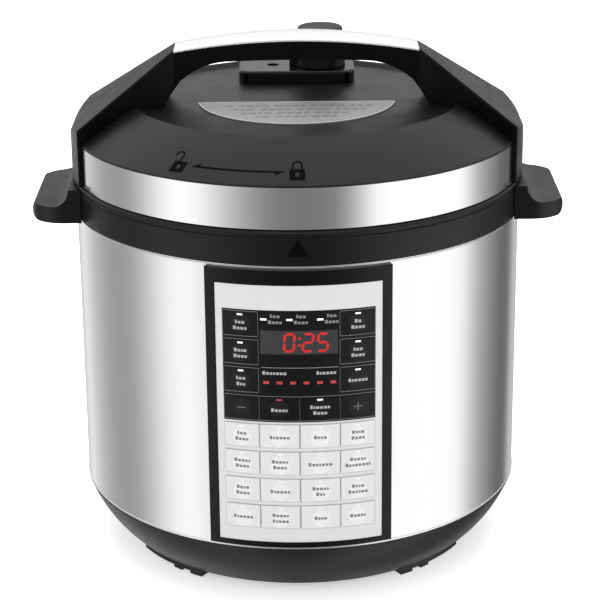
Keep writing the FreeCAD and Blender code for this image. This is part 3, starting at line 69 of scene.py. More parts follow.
def add(tree, kind, settings=None, inputs=None):
    """Adds one node, sets its properties, then gives each input a number or a link to a socket."""
    node = tree.nodes.new(kind)
    for name, setting in (settings or {}).items():
        setattr(node, name, setting)
    for name, given in (inputs or {}).items():
        socket = node.inputs[name]
        if isinstance(given, bpy.types.NodeSocket):
            tree.links.new(given, socket)
        else:
            socket.default_value = given
    return node


def new_material(name, colour, metallic=0.0, roughness=0.5, **more):
    """A Principled material whose constant values sit on the shader's own sockets."""
    material = bpy.data.materials.new(name)
    material.use_nodes = True
    tree = material.node_tree
    shader = tree.nodes["Principled BSDF"]
    shader.inputs["Base Color"].default_value = linear(colour)
    shader.inputs["Metallic"].default_value = metallic
    shader.inputs["Roughness"].default_value = roughness
    for name, given in more.items():
        shader.inputs[name.replace("_", " ")].default_value = given
    return material, tree, shader


def place_in_mm(tree, stretch=(1, 1, 1)):
    """The surface's own coordinates in millimetres, stretched if wanted, for real-size patterns."""
    spot = add(tree, "ShaderNodeTexCoord").outputs["Object"]
    scale = tuple(s / MM for s in stretch)
    return add(tree, "ShaderNodeMapping", inputs={"Vector": spot, "Scale": scale}).outputs["Vector"]


def noise(tree, where, size_mm, detail=2.0):
    """Noise whose features are about size_mm across."""
    return add(tree, "ShaderNodeTexNoise", inputs={
        "Vector": where, "Scale": 1 / size_mm, "Detail": detail}).outputs["Fac"]


def spread(tree, factor, low, high):
    """Maps noise, which mostly lies from 0.3 to 0.7, to the range low to high."""
    return add(tree, "ShaderNodeMapRange", inputs={
        "Value": factor, "From Min": 0.3, "From Max": 0.7,
        "To Min": low, "To Max": high}).outputs["Result"]


def bump(tree, shader, height, depth_mm, strength=1.0):
    """Lets a height pattern tilt the surface, as deep as the real relief."""
    relief = add(tree, "ShaderNodeBump", inputs={
        "Height": height, "Distance": depth_mm * MM, "Strength": strength})
    tree.links.new(relief.outputs["Normal"], shader.inputs["Normal"])
    return relief


print("tools ready;", len(nodes), "parts")

# %% [markdown]
# The camera stands a little over a metre in front of the cooker and looks slightly down at it
# through a long lens, as is usual for a shop catalogue, so the lid's ellipses stay shallow and
# the body hardly tapers.

# %% Camera
LOOK_AT = Vector((0.8, 0, 150)) * MM
CAMERA_DISTANCE = 1345 * MM
CAMERA_ELEVATION = math.radians(19.33)
CAMERA_ROLL = math.radians(-0.56)
LENS_LENGTH_MM, SENSOR_WIDTH_MM = 124.27, 36
NEAREST_SEEN = 50 * MM
lens = bpy.data.cameras.new("catalogue_lens")
lens.lens = LENS_LENGTH_MM
lens.sensor_width = SENSOR_WIDTH_MM
lens.clip_start = NEAREST_SEEN
camera = bpy.data.objects.new("catalogue_camera", lens)
bpy.context.scene.collection.objects.link(camera)
away = Vector((0, -math.cos(CAMERA_ELEVATION), math.sin(CAMERA_ELEVATION)))
camera.location = LOOK_AT + away * CAMERA_DISTANCE
facing = away.to_track_quat("Z", "Y").to_matrix() @ Matrix.Rotation(CAMERA_ROLL, 3, "Z")
camera.rotation_euler = facing.to_euler()
bpy.context.scene.camera = camera
print("camera", round(CAMERA_DISTANCE, 3), "m away, with a lens of", LENS_LENGTH_MM, "mm")

# %% [markdown]
# Polished steel has almost no colour of its own: it shows the room. A catalogue studio therefore
# puts large white panels at the sides and leaves dark gaps between them, which draws the soft
# upright stripes on the steel. Here the world itself is that room. Its brightness changes with the
# compass direction for the low directions that an upright wall mirrors, and turns to an even soft
# ceiling above. The floor is a white sweep that steel does not mirror, so the stripes stay clean.

# %% Studio
WALL_TOP, CEILING_START = 0.05, 0.30
CEILING_DIM, CEILING_BRIGHT = 0.80, 0.95
SWEEP_SIZE = 12
scene = bpy.context.scene
scene.view_settings.view_transform = "Standard"
world = bpy.data.worlds.new("studio_room")
scene.world = world
world.use_nodes = True
room = world.node_tree
way = add(room, "ShaderNodeSeparateXYZ", inputs={
    0: add(room, "ShaderNodeTexCoord").outputs["Generated"]})
ahead = add(room, "ShaderNodeMath", {"operation": "MULTIPLY"}, {0: way.outputs["Y"], 1: -1.0})
compass = add(room, "ShaderNodeMath", {"operation": "ARCTAN2"}, {
    0: way.outputs["X"], 1: ahead.outputs[0]})
turn = add(room, "ShaderNodeMapRange", inputs={
    "Value": compass.outputs[0], "From Min": -math.pi, "From Max": math.pi,
    "To Min": 0.0, "To Max": 1.0})
# Degrees round the cooker from the camera's side, positive to the right, and the brightness there.
ROOM_PANELS = [
    (-180, 0.30), (-166, 0.45), (-151, 1.05), (-134, 0.64), (-115, 0.38), (-103, 0.35),
    (-96, 0.38), (-89, 0.52), (-83, 0.69), (-68, 1.17), (-57, 1.19), (-49, 1.04), (-41, 0.79),
    (-33, 0.56), (-25, 0.40), (-16, 0.27), (-8, 0.215), (13, 0.21), (19, 0.24), (25, 0.37),
    (29, 0.54), (34, 0.81), (40, 1.15), (48, 1.22), (91, 1.22), (97, 0.92), (103, 0.56),
    (111, 0.38), (128, 0.14), (143, 0.12), (152, 0.75), (180, 0.30),
]
panels = add(room, "ShaderNodeValToRGB", inputs={"Fac": turn.outputs[0]})
ramp = panels.color_ramp
ramp.interpolation = "LINEAR"
for position, (degrees, brightness) in enumerate(ROOM_PANELS):
    stop = ramp.elements[position] if position < 2 else ramp.elements.new(1.0)
    stop.position = (degrees + 180) / 360
    stop.color = (brightness, brightness, brightness, 1)
height = add(room, "ShaderNodeMapRange", {"interpolation_type": "SMOOTHSTEP"}, {
    "Value": way.outputs["Z"], "From Min": WALL_TOP, "From Max": CEILING_START,
    "To Min": 0.0, "To Max": 1.0})
ceiling = add(room, "ShaderNodeMapRange", inputs={
    "Value": way.outputs["Z"], "From Min": 0.2, "From Max": 1.0,
    "To Min": CEILING_DIM, "To Max": CEILING_BRIGHT})
sky = add(room, "ShaderNodeMix", {"data_type": "RGBA"}, {
    "Factor": height.outputs[0], 6: panels.outputs["Color"], 7: ceiling.outputs[0]})
lit = room.nodes["Background"]
room.links.new(sky.outputs[2], lit.inputs["Color"])
lit.inputs["Strength"].default_value = 1.0

bpy.ops.mesh.primitive_plane_add(size=SWEEP_SIZE, location=(0, 0, 0))
floor = bpy.context.object
floor.name = "white_sweep"
floor.visible_glossy = False
sweep, sweep_tree, sweep_shader = new_material(
    "white_paper_sweep", "#fbfbfb", roughness=0.9,
    Emission_Color=linear("#ffffff"), Emission_Strength=0.5)
sweep_tree.links.new(spread(sweep_tree, noise(sweep_tree, place_in_mm(sweep_tree), 40), 0.88, 0.92),
                     sweep_shader.inputs["Roughness"])
floor.data.materials.append(sweep)


def soft_light(name, where, size, power, aim=(0, 0, 0.15)):
    """A square softbox that faces the cooker; it lights, and steel mirrors only the room."""
    lamp = bpy.data.lights.new(name, "AREA")
    lamp.size = size
    lamp.energy = power
    box = bpy.data.objects.new(name, lamp)
    scene.collection.objects.link(box)
    box.location = where
    box.rotation_euler = (Vector(where) - Vector(aim)).to_track_quat("Z", "Y").to_euler()
    box.visible_glossy = False


soft_light("overhead_softbox", (0, 0.7, 1.7), 2.0, 30)
soft_light("front_left_softbox", (-1.3, -1.2, 1.3), 1.0, 3)
soft_light("front_right_softbox", (1.3, -1.2, 1.3), 1.0, 3)
print("studio ready, with", len(ROOM_PANELS), "brightness stops round the room")

# %% [markdown]
# The casing is stainless sheet, rolled round and finished with a fine belt that runs round the
# body. The belt's scratches are far too fine to see one by one, but they stretch every reflection
# up and down. So the metal is a plain one with the real roughness of a belt finish, stronger along
# the scratches, plus faint streaks that run round the body and change the roughness a little.

# %% Steels
STREAK_LENGTH_MM = 60


def round_streaks(tree, height_mm, length_mm):
    """Noise drawn out round the body: long in X and Y, fine in Z."""
    squeeze = height_mm / length_mm
    return noise(tree, place_in_mm(tree, (squeeze, squeeze, 1)), height_mm, 3)


def belted_steel(name, colour, roughness, streak_mm, contrast):
    """Belt-finished stainless: it mirrors sharper along the scratches than across them."""
    material, tree, shader = new_material(name, colour, 1.0, roughness, Anisotropic=0.45)
    streaks = round_streaks(tree, streak_mm, STREAK_LENGTH_MM)
    tree.links.new(spread(tree, streaks, roughness - contrast, roughness + contrast),
                   shader.inputs["Roughness"])
    around = add(tree, "ShaderNodeTangent", {"direction_type": "RADIAL", "axis": "Z"})
    tree.links.new(around.outputs[0], shader.inputs["Tangent"])
    bump(tree, shader, streaks, 0.002, 0.2)
    return material


shell_steel = belted_steel("belt_ground_stainless_sheet", "#ececee", 0.21, 0.5, 0.015)
band_steel = belted_steel("fine_brushed_stainless_band", "#eeeeef", 0.17, 0.5, 0.015)
pot_steel = belted_steel("spun_stainless_pot", "#d8d8da", 0.30, 0.8, 0.05)


def turned_metal(name, colour, roughness):
    """Bright turned or drawn steel: nearly even, with faint handling marks 3 mm across."""
    material, tree, shader = new_material(name, colour, 1.0, roughness)
    marks = noise(tree, place_in_mm(tree), 3, 3)
    tree.links.new(spread(tree, marks, roughness - 0.04, roughness + 0.06),
                   shader.inputs["Roughness"])
    return material


screw_steel = turned_metal("zinc_plated_steel", "#c9c9cc", 0.28)


def cast_aluminium():
    """Die-cast aluminium: dull, with a fine pebbled skin about 0.8 mm across."""
    material, tree, shader = new_material("die_cast_aluminium", "#b9babc", 1.0, 0.45)
    skin = noise(tree, place_in_mm(tree), 0.8, 3)
    tree.links.new(spread(tree, skin, 0.38, 0.55), shader.inputs["Roughness"])
    bump(tree, shader, skin, 0.03, 0.6)
    return material


heater_alloy = cast_aluminium()
print("steels ready, with streaks", STREAK_LENGTH_MM, "mm long")

# %% [markdown]
# The base, the collar, the lid cover and the handles are injection moulded in black PP and ABS.
# Their moulds are spark eroded, which leaves a satin grain of a few tenths of a millimetre. It
# scatters the light from above, so level faces look dark grey while upright ones stay near black.

# %% Black plastics
EDGE_ROUNDING = 1.0 * MM


def moulded_plastic(name, colour, roughness, grain_mm, grain_depth_mm, **more):
    """A moulding with a spark-eroded grain, slightly rubbed, its edges rounded in the shading."""
    material, tree, shader = new_material(name, colour, 0.0, roughness, **more)
    where = place_in_mm(tree)
    grain = noise(tree, where, grain_mm, 2)
    rubbed = noise(tree, where, 18, 3)
    tree.links.new(spread(tree, rubbed, roughness - 0.03, roughness + 0.05),
                   shader.inputs["Roughness"])
    rounded = add(tree, "ShaderNodeBevel", {"samples": 4}, {"Radius": EDGE_ROUNDING})
    relief = bump(tree, shader, grain, grain_depth_mm, 0.5)
    tree.links.new(rounded.outputs[0], relief.inputs["Normal"])
    return material


black_plastic = moulded_plastic("satin_black_polypropylene", "#070708", 0.38, 0.5, 0.010, IOR=1.49,
                                Specular_IOR_Level=0.34)
cover_plastic = moulded_plastic("grained_black_abs_cover", "#0b0b0c", 0.37, 0.5, 0.010, IOR=1.54,
                                Specular_IOR_Level=0.40)
handle_plastic = moulded_plastic("satin_black_abs_handle", "#070708", 0.34, 0.5, 0.008, IOR=1.54,
                                 Specular_IOR_Level=0.12)
bezel_plastic = moulded_plastic("semi_gloss_black_abs_bezel", "#040405", 0.28, 0.9, 0.002, IOR=1.54,
                                Specular_IOR_Level=0.25)
gloss_plastic = moulded_plastic("polished_black_abs", "#040405", 0.10, 0.9, 0.002, IOR=1.54,
                                Specular_IOR_Level=0.40)
socket_plastic = moulded_plastic("black_thermoset_inlet", "#141414", 0.50, 0.6, 0.010, IOR=1.55)
module_plastic = moulded_plastic("black_polycarbonate_module", "#101010", 0.50, 0.6, 0.010,
                                 IOR=1.58)
foot_rubber = moulded_plastic("moulded_black_rubber", "#161616", 0.75, 0.7, 0.030, IOR=1.52)
print("black plastics ready, with edges rounded by", round(EDGE_ROUNDING / MM, 2), "mm")

# %% [markdown]
# The grip's top strip is ABS with a vacuum-metallised silver lacquer: a smooth metal look under a
# clear coat. The small plate on the lid is anodised aluminium sheet, brushed in one direction.

# %% Silver finishes
TRIM_HALF_MM, TRIM_CROWN_MM = 15.4, 0.8
TRIM_ROUNDING = 0.4 * MM


def silver_lacquer():
    """Silver lacquer on a strip whose top is flat in the middle and curls down at both edges."""
    material, tree, shader = new_material(
        "silver_lacquered_abs", "#ffffff", 0.55, 0.26, Coat_Weight=0.4, Coat_Roughness=0.12)
    flow = noise(tree, place_in_mm(tree), 6, 2)
    tree.links.new(spread(tree, flow, 0.24, 0.30), shader.inputs["Roughness"])
    across = add(tree, "ShaderNodeSeparateXYZ", inputs={0: place_in_mm(tree)})
    side = add(tree, "ShaderNodeMath", {"operation": "MULTIPLY"}, {
        0: across.outputs["Y"], 1: across.outputs["Y"]})
    crown = add(tree, "ShaderNodeMath", {"operation": "POWER"}, {0: side.outputs[0], 1: 2.0})
    drop = add(tree, "ShaderNodeMath", {"operation": "DIVIDE"}, {
        0: crown.outputs[0], 1: -TRIM_HALF_MM ** 4})
    relief = bump(tree, shader, drop.outputs[0], TRIM_CROWN_MM)
    rounded = add(tree, "ShaderNodeBevel", {"samples": 4}, {"Radius": TRIM_ROUNDING})
    tree.links.new(rounded.outputs[0], relief.inputs["Normal"])
    return material


def brushed_plate(name, colour):
    """Fine lines 0.3 mm apart that run along the plate's length."""
    material, tree, shader = new_material(name, colour, 0.6, 0.45)
    lines = noise(tree, place_in_mm(tree, (0.02, 1, 1)), 0.3, 2)
    tree.links.new(spread(tree, lines, 0.40, 0.52), shader.inputs["Roughness"])
    bump(tree, shader, lines, 0.006, 0.5)
    return material


trim_silver = silver_lacquer()
plate_silver = brushed_plate("brushed_anodised_aluminium", "#b4b4b6")
print("silver finishes ready, with a trim", 2 * TRIM_HALF_MM, "mm wide")

# %% [markdown]
# The panel's face is one polycarbonate film, printed on its back: silver-grey all over, with a
# black field round the display and the upper keys. A printed field has a sharp edge, so the
# material switches colour at the real edges of that field, measured from the keys of the
# engineering model.

# %% Panel film
PANEL_RADIUS = 140 * MM
key_boxes = {name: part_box(name) for name in nodes if name.startswith("key_")}
black_low = key_boxes["key_minus"][0].z - 1.4 * MM
black_high = key_boxes["key_cancel"][1].z + 1.6 * MM
black_half = key_boxes["key_start"][1].x + 0.5 * MM
print("black field", round(2 * black_half / MM, 1), "mm wide and",
      round((black_high - black_low) / MM, 1), "mm high")


def inside_band(tree, coordinate, low, high):
    """1 where low < coordinate < high, in metres."""
    over = add(tree, "ShaderNodeMath", {"operation": "GREATER_THAN"}, {0: coordinate, 1: low})
    under = add(tree, "ShaderNodeMath", {"operation": "LESS_THAN"}, {0: coordinate, 1: high})
    both = add(tree, "ShaderNodeMath", {"operation": "MULTIPLY"}, {
        0: over.outputs[0], 1: under.outputs[0]})
    return both.outputs[0]


def satin_film(name, colour, field_colour=None):
    """Printed satin film; a second colour fills the black field's rectangle."""
    material, tree, shader = new_material(name, colour, 0.0, 0.42, IOR=1.58,
                                          Specular_IOR_Level=0.3)
    texture = noise(tree, place_in_mm(tree), 0.6, 2)
    tree.links.new(spread(tree, texture, 0.38, 0.46), shader.inputs["Roughness"])
    bump(tree, shader, texture, 0.004, 0.4)
    if field_colour:
        spot = add(tree, "ShaderNodeSeparateXYZ", inputs={
            0: add(tree, "ShaderNodeTexCoord").outputs["Object"]})
        across = inside_band(tree, spot.outputs["X"], -black_half, black_half)
        up = inside_band(tree, spot.outputs["Z"], black_low, black_high)
        field = add(tree, "ShaderNodeMath", {"operation": "MULTIPLY"}, {0: across, 1: up})
        print_colour = add(tree, "ShaderNodeMix", {"data_type": "RGBA"}, {
            "Factor": field.outputs[0], 6: linear(colour), 7: linear(field_colour)})
        tree.links.new(print_colour.outputs[2], shader.inputs["Base Color"])
    return material


FILM_GREY, FILM_BLACK = "#c9cac8", "#030304"
overlay_film = satin_film("printed_polycarbonate_film", FILM_GREY, FILM_BLACK)
key_silver = satin_film("silver_printed_key_film", "#cdcecc")
key_black = satin_film("black_printed_key_film", FILM_BLACK)
# Lighter discs painted on the keys as the highlights of their embossed domes; on the silver keys
# the disc sits low, where the dome's lower half catches the light.
silver_dome_highlight = satin_film("pale_printed_key_disc", "#d5d6d4")
black_dome_highlight = satin_film("dark_grey_printed_key_disc", "#121213")
ink_white = satin_film("white_printing_ink", "#e6e6e6")
ink_grey = satin_film("grey_printing_ink", "#77787a")
ink_line = satin_film("warm_grey_printing_ink", "#b4b5b3")
ink_dark = satin_film("dark_grey_printing_ink", "#727375")
ink_pale = satin_film("pale_grey_printing_ink", "#9c9d9e")
print("film, key and ink finishes ready")

# %% [markdown]
# Behind the smoked lens sits a bright red seven-segment display, and small lamps shine through
# thin slits in the film. Each lit piece is a coloured diffuser that gives off its own light.

# %% Display, lamps and clear parts


def lit_diffuser(name, colour, glow, strength):
    """A moulded diffuser lit from behind, a touch brighter in its middle grain."""
    material, tree, shader = new_material(name, colour, 0.0, 0.4)
    shader.inputs["Emission Color"].default_value = linear(glow)
    grain = noise(tree, place_in_mm(tree), 1.2, 1)
    tree.links.new(spread(tree, grain, strength * 0.92, strength * 1.08),
                   shader.inputs["Emission Strength"])
    return material


digit_red = lit_diffuser("lit_red_segment", "#960a0e", "#ff100e", 0.30)
lamp_red = lit_diffuser("lit_red_lamp", "#a02c34", "#ff3a44", 0.12)
lamp_white = lit_diffuser("lit_white_lamp", "#f4f4f4", "#ffffff", 0.25)


def smoked_lens():
    """Dark acrylic, polished, with hardly any waviness."""
    material, tree, shader = new_material("smoked_acrylic_lens", "#343435", 0.0, 0.12, IOR=1.49)
    wave = noise(tree, place_in_mm(tree), 9, 1)
    tree.links.new(spread(tree, wave, 0.16, 0.24), shader.inputs["Roughness"])
    return material


def clear_cup_plastic():
    """Clear polycarbonate as moulded: water-clear, slightly grey on edge."""
    material, tree, shader = new_material(
        "clear_moulded_polycarbonate", "#e8ecee", 0.0, 0.08, IOR=1.58, Transmission_Weight=0.9)
    flow = noise(tree, place_in_mm(tree), 12, 2)
    tree.links.new(spread(tree, flow, 0.06, 0.12), shader.inputs["Roughness"])
    return material


def moulded_silicone():
    """Translucent silicone: milky, slightly waxy, light travels about 2 mm inside."""
    material, tree, shader = new_material("translucent_silicone", "#d9d8d2", 0.0, 0.55, IOR=1.41,
                                          Subsurface_Weight=0.3, Subsurface_Scale=0.002)
    skin = noise(tree, place_in_mm(tree), 1.5, 2)
    tree.links.new(spread(tree, skin, 0.5, 0.62), shader.inputs["Roughness"])
    return material


def circuit_board():
    """Green solder mask over copper, with traces as cells 2.5 mm wide."""
    material, tree, shader = new_material("green_solder_mask_board", "#12401f", 0.0, 0.35, IOR=1.55)
    cells = add(tree, "ShaderNodeTexVoronoi", {"distance": "CHEBYCHEV"}, {
        "Vector": place_in_mm(tree), "Scale": 1 / 2.5})
    tone = add(tree, "ShaderNodeMix", {"data_type": "RGBA"}, {
        "Factor": cells.outputs["Distance"], 6: linear("#0f3a1c"), 7: linear("#1f5a30")})
    tree.links.new(tone.outputs[2], shader.inputs["Base Color"])
    bump(tree, shader, cells.outputs["Distance"], 0.03, 0.4)
    return material


display_lens = smoked_lens()
cup_plastic = clear_cup_plastic()
silicone = moulded_silicone()
board_green = circuit_board()
print("display, lamps, lens, cup, silicone and boards ready")

# %% [markdown]
# Now every part of the engineering model gets its finish. Parts are grouped by what they are made
# of.

# %% Finishes for the parts
FINISHES = [
    (shell_steel, ["outer_shell"]),
    (band_steel, ["lid_band"]),
    (pot_steel, ["locking_pot", "inner_pot", "pressure_lid"]),
    (heater_alloy, ["heater_plate", "sensor_cap"]),
    (screw_steel, ["base_screws", "lid_screws", "sensor_spring", "ring_rack", "steam_pipe",
                   "anti_block_shield", "float_pin"]),
    (black_plastic, ["base_tray", "top_collar", "side_handles", "steam_knob"]),
    (bezel_plastic, ["panel_bezel"]),
    (cover_plastic, ["lid_cover"]),
    (handle_plastic, ["lid_handle"]),
    (gloss_plastic, ["valve_housing"]),
    (trim_silver, ["handle_trim"]),
    (plate_silver, ["caution_plate"]),
    (overlay_film, ["panel_overlay"]),
    (display_lens, ["display_window"]),
    (module_plastic, ["led_display"]),
    (board_green, ["control_board", "power_board"]),
    (socket_plastic, ["power_socket"]),
    (foot_rubber, ["foot_pads"]),
    (silicone, ["sealing_ring", "float_seal"]),
    (cup_plastic, ["condensation_cup"]),
    (key_silver, [f"key_program_{number}" for number in range(1, 17)]),
    (key_black, ["key_cancel", "key_delay", "key_time", "key_start", "key_warm", "key_manual",
                 "key_minus", "key_adjust", "key_pressure", "key_plus"]),
]
for material, parts in FINISHES:
    for part in parts:
        nodes[part].data.materials.clear()
        nodes[part].data.materials.append(material)
bare = [name for name in nodes
        if not nodes[name].data.materials or not nodes[name].data.materials[0]]
print("parts without a finish:", bare)

# %% [markdown]
# The printing on the panel is made as very thin sheets that follow the panel's curve. Each sheet
# is drawn flat, as an arc length across and a height up, and then wrapped round the body's axis. A
# sheet is a closed solid a few hundredths of a millimetre thick, so it is a real piece and not a
# trick of the shading.

# %% Wrapped print pieces
INK = 0.04 * MM
LONGEST_FLAT = 4 * MM


def new_piece(name, mesh_maker, materials, body):
    """Makes an object with a bmesh function, its finishes, and the body it moves with."""
    mesh = bpy.data.meshes.new(name)
    shape = bmesh.new()
    mesh_maker(shape)
    bmesh.ops.recalc_face_normals(shape, faces=shape.faces)
    shape.to_mesh(mesh)
    shape.free()
    piece = bpy.data.objects.new(name, mesh)
    scene.collection.objects.link(piece)
    for material in materials:
        mesh.materials.append(material)
    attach(piece, body)


def wrapped(arc, up, radius):
    """A point wrapped round the body's axis: arc metres right of the front, up metres high."""
    angle = arc / PANEL_RADIUS
    return Vector((math.sin(angle) * radius, -math.cos(angle) * radius, up))


def slab(shape, outline, radius, thickness, material=0):
    """A closed thin slab: an outline of (arc, up) points, wrapped at radius, with a thickness."""
    near = [shape.verts.new(wrapped(a, u, radius + thickness)) for a, u in outline]
    far = [shape.verts.new(wrapped(a, u, radius)) for a, u in outline]
    count = len(outline)
    faces = [shape.faces.new(near), shape.faces.new(list(reversed(far)))]
    for i in range(count):
        j = (i + 1) % count
        faces.append(shape.faces.new((near[j], near[i], far[i], far[j])))
    for face in faces:
        face.material_index = material


def bar(shape, left, right, bottom, top, radius, thickness=INK, material=0):
    """A printed bar, cut into short lengths so that it bends with the panel."""
    pieces = max(1, math.ceil((right - left) / LONGEST_FLAT))
    for i in range(pieces):
        a, b = (left + (right - left) * k / pieces for k in (i, i + 1))
        slab(shape, [(a, bottom), (b, bottom), (b, top), (a, top)], radius, thickness, material)


def disc(shape, arc, up, size, radius, thickness=INK, material=0):
    """A thin disc of upright strips, narrow at the sides, so that it bends with the panel."""
    strips = 12
    edges = [-math.cos(math.pi * i / strips) for i in range(strips + 1)]
    for a, b in zip(edges, edges[1:]):
        high_a, high_b = (math.sqrt(max(0, 1 - side * side)) * size for side in (a, b))
        outline = [(arc + a * size, up - high_a), (arc + b * size, up - high_b),
                   (arc + b * size, up + high_b), (arc + a * size, up + high_a)]
        if high_a < 1e-6:
            outline = outline[:3]
        elif high_b < 1e-6:
            outline = [outline[0], outline[1], outline[3]]
        slab(shape, outline, radius, thickness, material)


FILM_FACE, KEY_FACE, LENS_FACE = (
    max(math.hypot(v.co.x, v.co.y) for v in nodes[name].data.vertices)
    for name in ("panel_overlay", "key_adjust", "display_window"))
print("film, key and lens faces at",
      [round(r / MM, 2) for r in (FILM_FACE, KEY_FACE, LENS_FACE)], "mm")


def key_place(name):
    """A key's middle and half sizes as (arc, up, half width, half height)."""
    low, high = key_boxes[name]
    points = [math.atan2(v.co.x, -v.co.y) for v in nodes[name].data.vertices]
    left, right = min(points) * PANEL_RADIUS, max(points) * PANEL_RADIUS
    return (left + right) / 2, (low.z + high.z) / 2, (right - left) / 2, (high.z - low.z) / 2


# %% [markdown]
# Every key has a lighter round disc painted as the highlight of its embossed dome, a small lamp
# slit near its top and a caption. The captions here are plain rows of small blocks, so that the
# panel has the real one's rhythm without any words. The lit lamp on the adjust key is red.
# Everything on a key moves in with that key.

# %% Key faces
SLIT_HALF, SLIT_TALL, SLIT_FROM_TOP = 1.6 * MM, 1.0 * MM, 2.0 * MM
SILVER_SLIT, BLACK_SLIT = 0.7, 1.0
# The painted dome highlight's radius, and how far it sits below the middle of a silver key.
HIGHLIGHT_DISC_RADIUS, SILVER_HIGHLIGHT_DROP, CAPTION_DROP = 5.6 * MM, 1.2 * MM, 1.0 * MM
SIGN_HALF, SIGN_HALF_THICK = 2.6 * MM, 0.2 * MM
# How many blocks each row of a caption has; the program keys come in the order of their numbers.
CAPTIONS = {
    "key_cancel": (3, 4), "key_delay": (4, 4), "key_time": (3, 3), "key_start": (2, 4),
    "key_warm": (3, 4), "key_manual": (6,), "key_adjust": (5,), "key_pressure": (6, 4),
    "key_minus": (), "key_plus": (),
}
PROGRAM_CAPTIONS = [(3, 4), (6,), (4,), (4, 4), (5, 4), (5, 4), (7,), (5, 8),
                    (4, 4), (6,), (5, 3), (4, 6), (6,), (5, 5), (4,), (5,)]
CAPTIONS.update({f"key_program_{i + 1}": rows for i, rows in enumerate(PROGRAM_CAPTIONS)})
BLOCK_WIDTHS = (1.75, 1.4, 1.65, 1.05, 1.7)     # millimetres, used in turn
BLOCK_GAP, BLOCK_TALL, ROW_STEP = 0.5, 1.6, 3.7     # millimetres
FIRST_BLOCK_RISE = 1.35


def caption(shape, arc, up, counts, radius, material):
    """Rows of small blocks, centred on the key."""
    for row, count in enumerate(counts):
        widths = [BLOCK_WIDTHS[(i * 2 + row + count) % len(BLOCK_WIDTHS)] for i in range(count)]
        whole = sum(widths) + BLOCK_GAP * (count - 1)
        level = up + ((len(counts) - 1) / 2 - row) * ROW_STEP * MM
        start = arc - whole / 2 * MM
        for i, width in enumerate(widths):
            tall = BLOCK_TALL * (FIRST_BLOCK_RISE if i == 0 else 1.0) * MM
            base = level - BLOCK_TALL / 2 * MM
            slab(shape, [(start, base), (start + width * MM, base),
                         (start + width * MM, base + tall), (start, base + tall)],
                 radius, INK, material)
            start += (width + BLOCK_GAP) * MM


def key_face(name):
    """The painted dome highlight, the caption or sign, and the lamp slit of one key, riding on that
    key.
    """
    arc, up, _, tall = key_place(name)
    silver = name.startswith("key_program")
    lamp = {"key_adjust": lamp_red}.get(name, lamp_white)
    sign = name in ("key_minus", "key_plus")

    def draw(shape):
        # A lighter disc painted as the highlight on the key's embossed dome.
        disc(shape, arc, up - (SILVER_HIGHLIGHT_DROP if silver else 0), HIGHLIGHT_DISC_RADIUS, KEY_FACE)
        over = KEY_FACE + INK
        caption(shape, arc, up - CAPTION_DROP, CAPTIONS[name], over, 1)
        if sign:
            bar(shape, arc - SIGN_HALF, arc + SIGN_HALF,
                up - SIGN_HALF_THICK, up + SIGN_HALF_THICK, over, material=1)
        if name == "key_plus":
            bar(shape, arc - SIGN_HALF_THICK, arc + SIGN_HALF_THICK,
                up - SIGN_HALF, up + SIGN_HALF, over, material=1)
        if not sign:
            slit = SILVER_SLIT if silver else BLACK_SLIT
            base = up + tall - SLIT_FROM_TOP
            bar(shape, arc - SLIT_HALF * slit, arc + SLIT_HALF * slit,
                base, base + SLIT_TALL * slit, KEY_FACE, INK * 1.5, 2)

    # The first finish is the painted dome highlight.
    inks = [silver_dome_highlight, ink_dark, ink_white] if silver else [black_dome_highlight, ink_pale, lamp]
    if sign:
        inks[1] = ink_grey
    new_piece(name.replace("key_", "face_"), draw, inks, name)


for name in key_boxes:
    key_face(name)
print("key faces made:", len(key_boxes))

# %% [markdown]
# Hairlines are printed on the film round the keys: grey ones on the black field, warm grey ones on
# the silver.

# %% Hairlines on the film
LINE = 0.30 * MM
LINE_ABOVE, LINE_BESIDE, LINE_OVERRUN = 0.45 * MM, 0.38 * MM, 0.2 * MM


def hairlines(shape):
    """Two level and two upright lines round every key."""
    for name in key_boxes:
        arc, up, half, tall = key_place(name)
        material = 1 if name.startswith("key_program") else 0
        for side in (-1, 1):
            level = up + side * (tall + LINE_ABOVE)
            bar(shape, arc - half - LINE_OVERRUN, arc + half + LINE_OVERRUN,
                level - LINE / 2, level + LINE / 2, FILM_FACE, material=material)
        low, high = up - tall - LINE_ABOVE, up + tall + LINE_ABOVE
        for side in (-1, 1):
            edge = arc + side * (half + LINE_BESIDE)
            left, right = edge - LINE / 3, edge + LINE / 3
            slab(shape, [(left, low), (right, low), (right, high), (left, high)],
                 FILM_FACE, INK, material)


new_piece("panel_hairlines", hairlines, [ink_grey, ink_line], "base")
print("key columns at", sorted({round(key_place(name)[0] / MM, 1) for name in key_boxes}), "mm")

# %% [markdown]
# The middle of the black field holds three status lamps, the clock, a thin rule and a row of six
# pressure lamps.

# %% Display graphics
WINDOW_LOW, WINDOW_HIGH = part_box("display_window")
WINDOW_MIDDLE = (WINDOW_LOW.z + WINDOW_HIGH.z) / 2
SEGMENT_THICK, SEGMENT_GAP = 1.6 * MM, 0.22 * MM


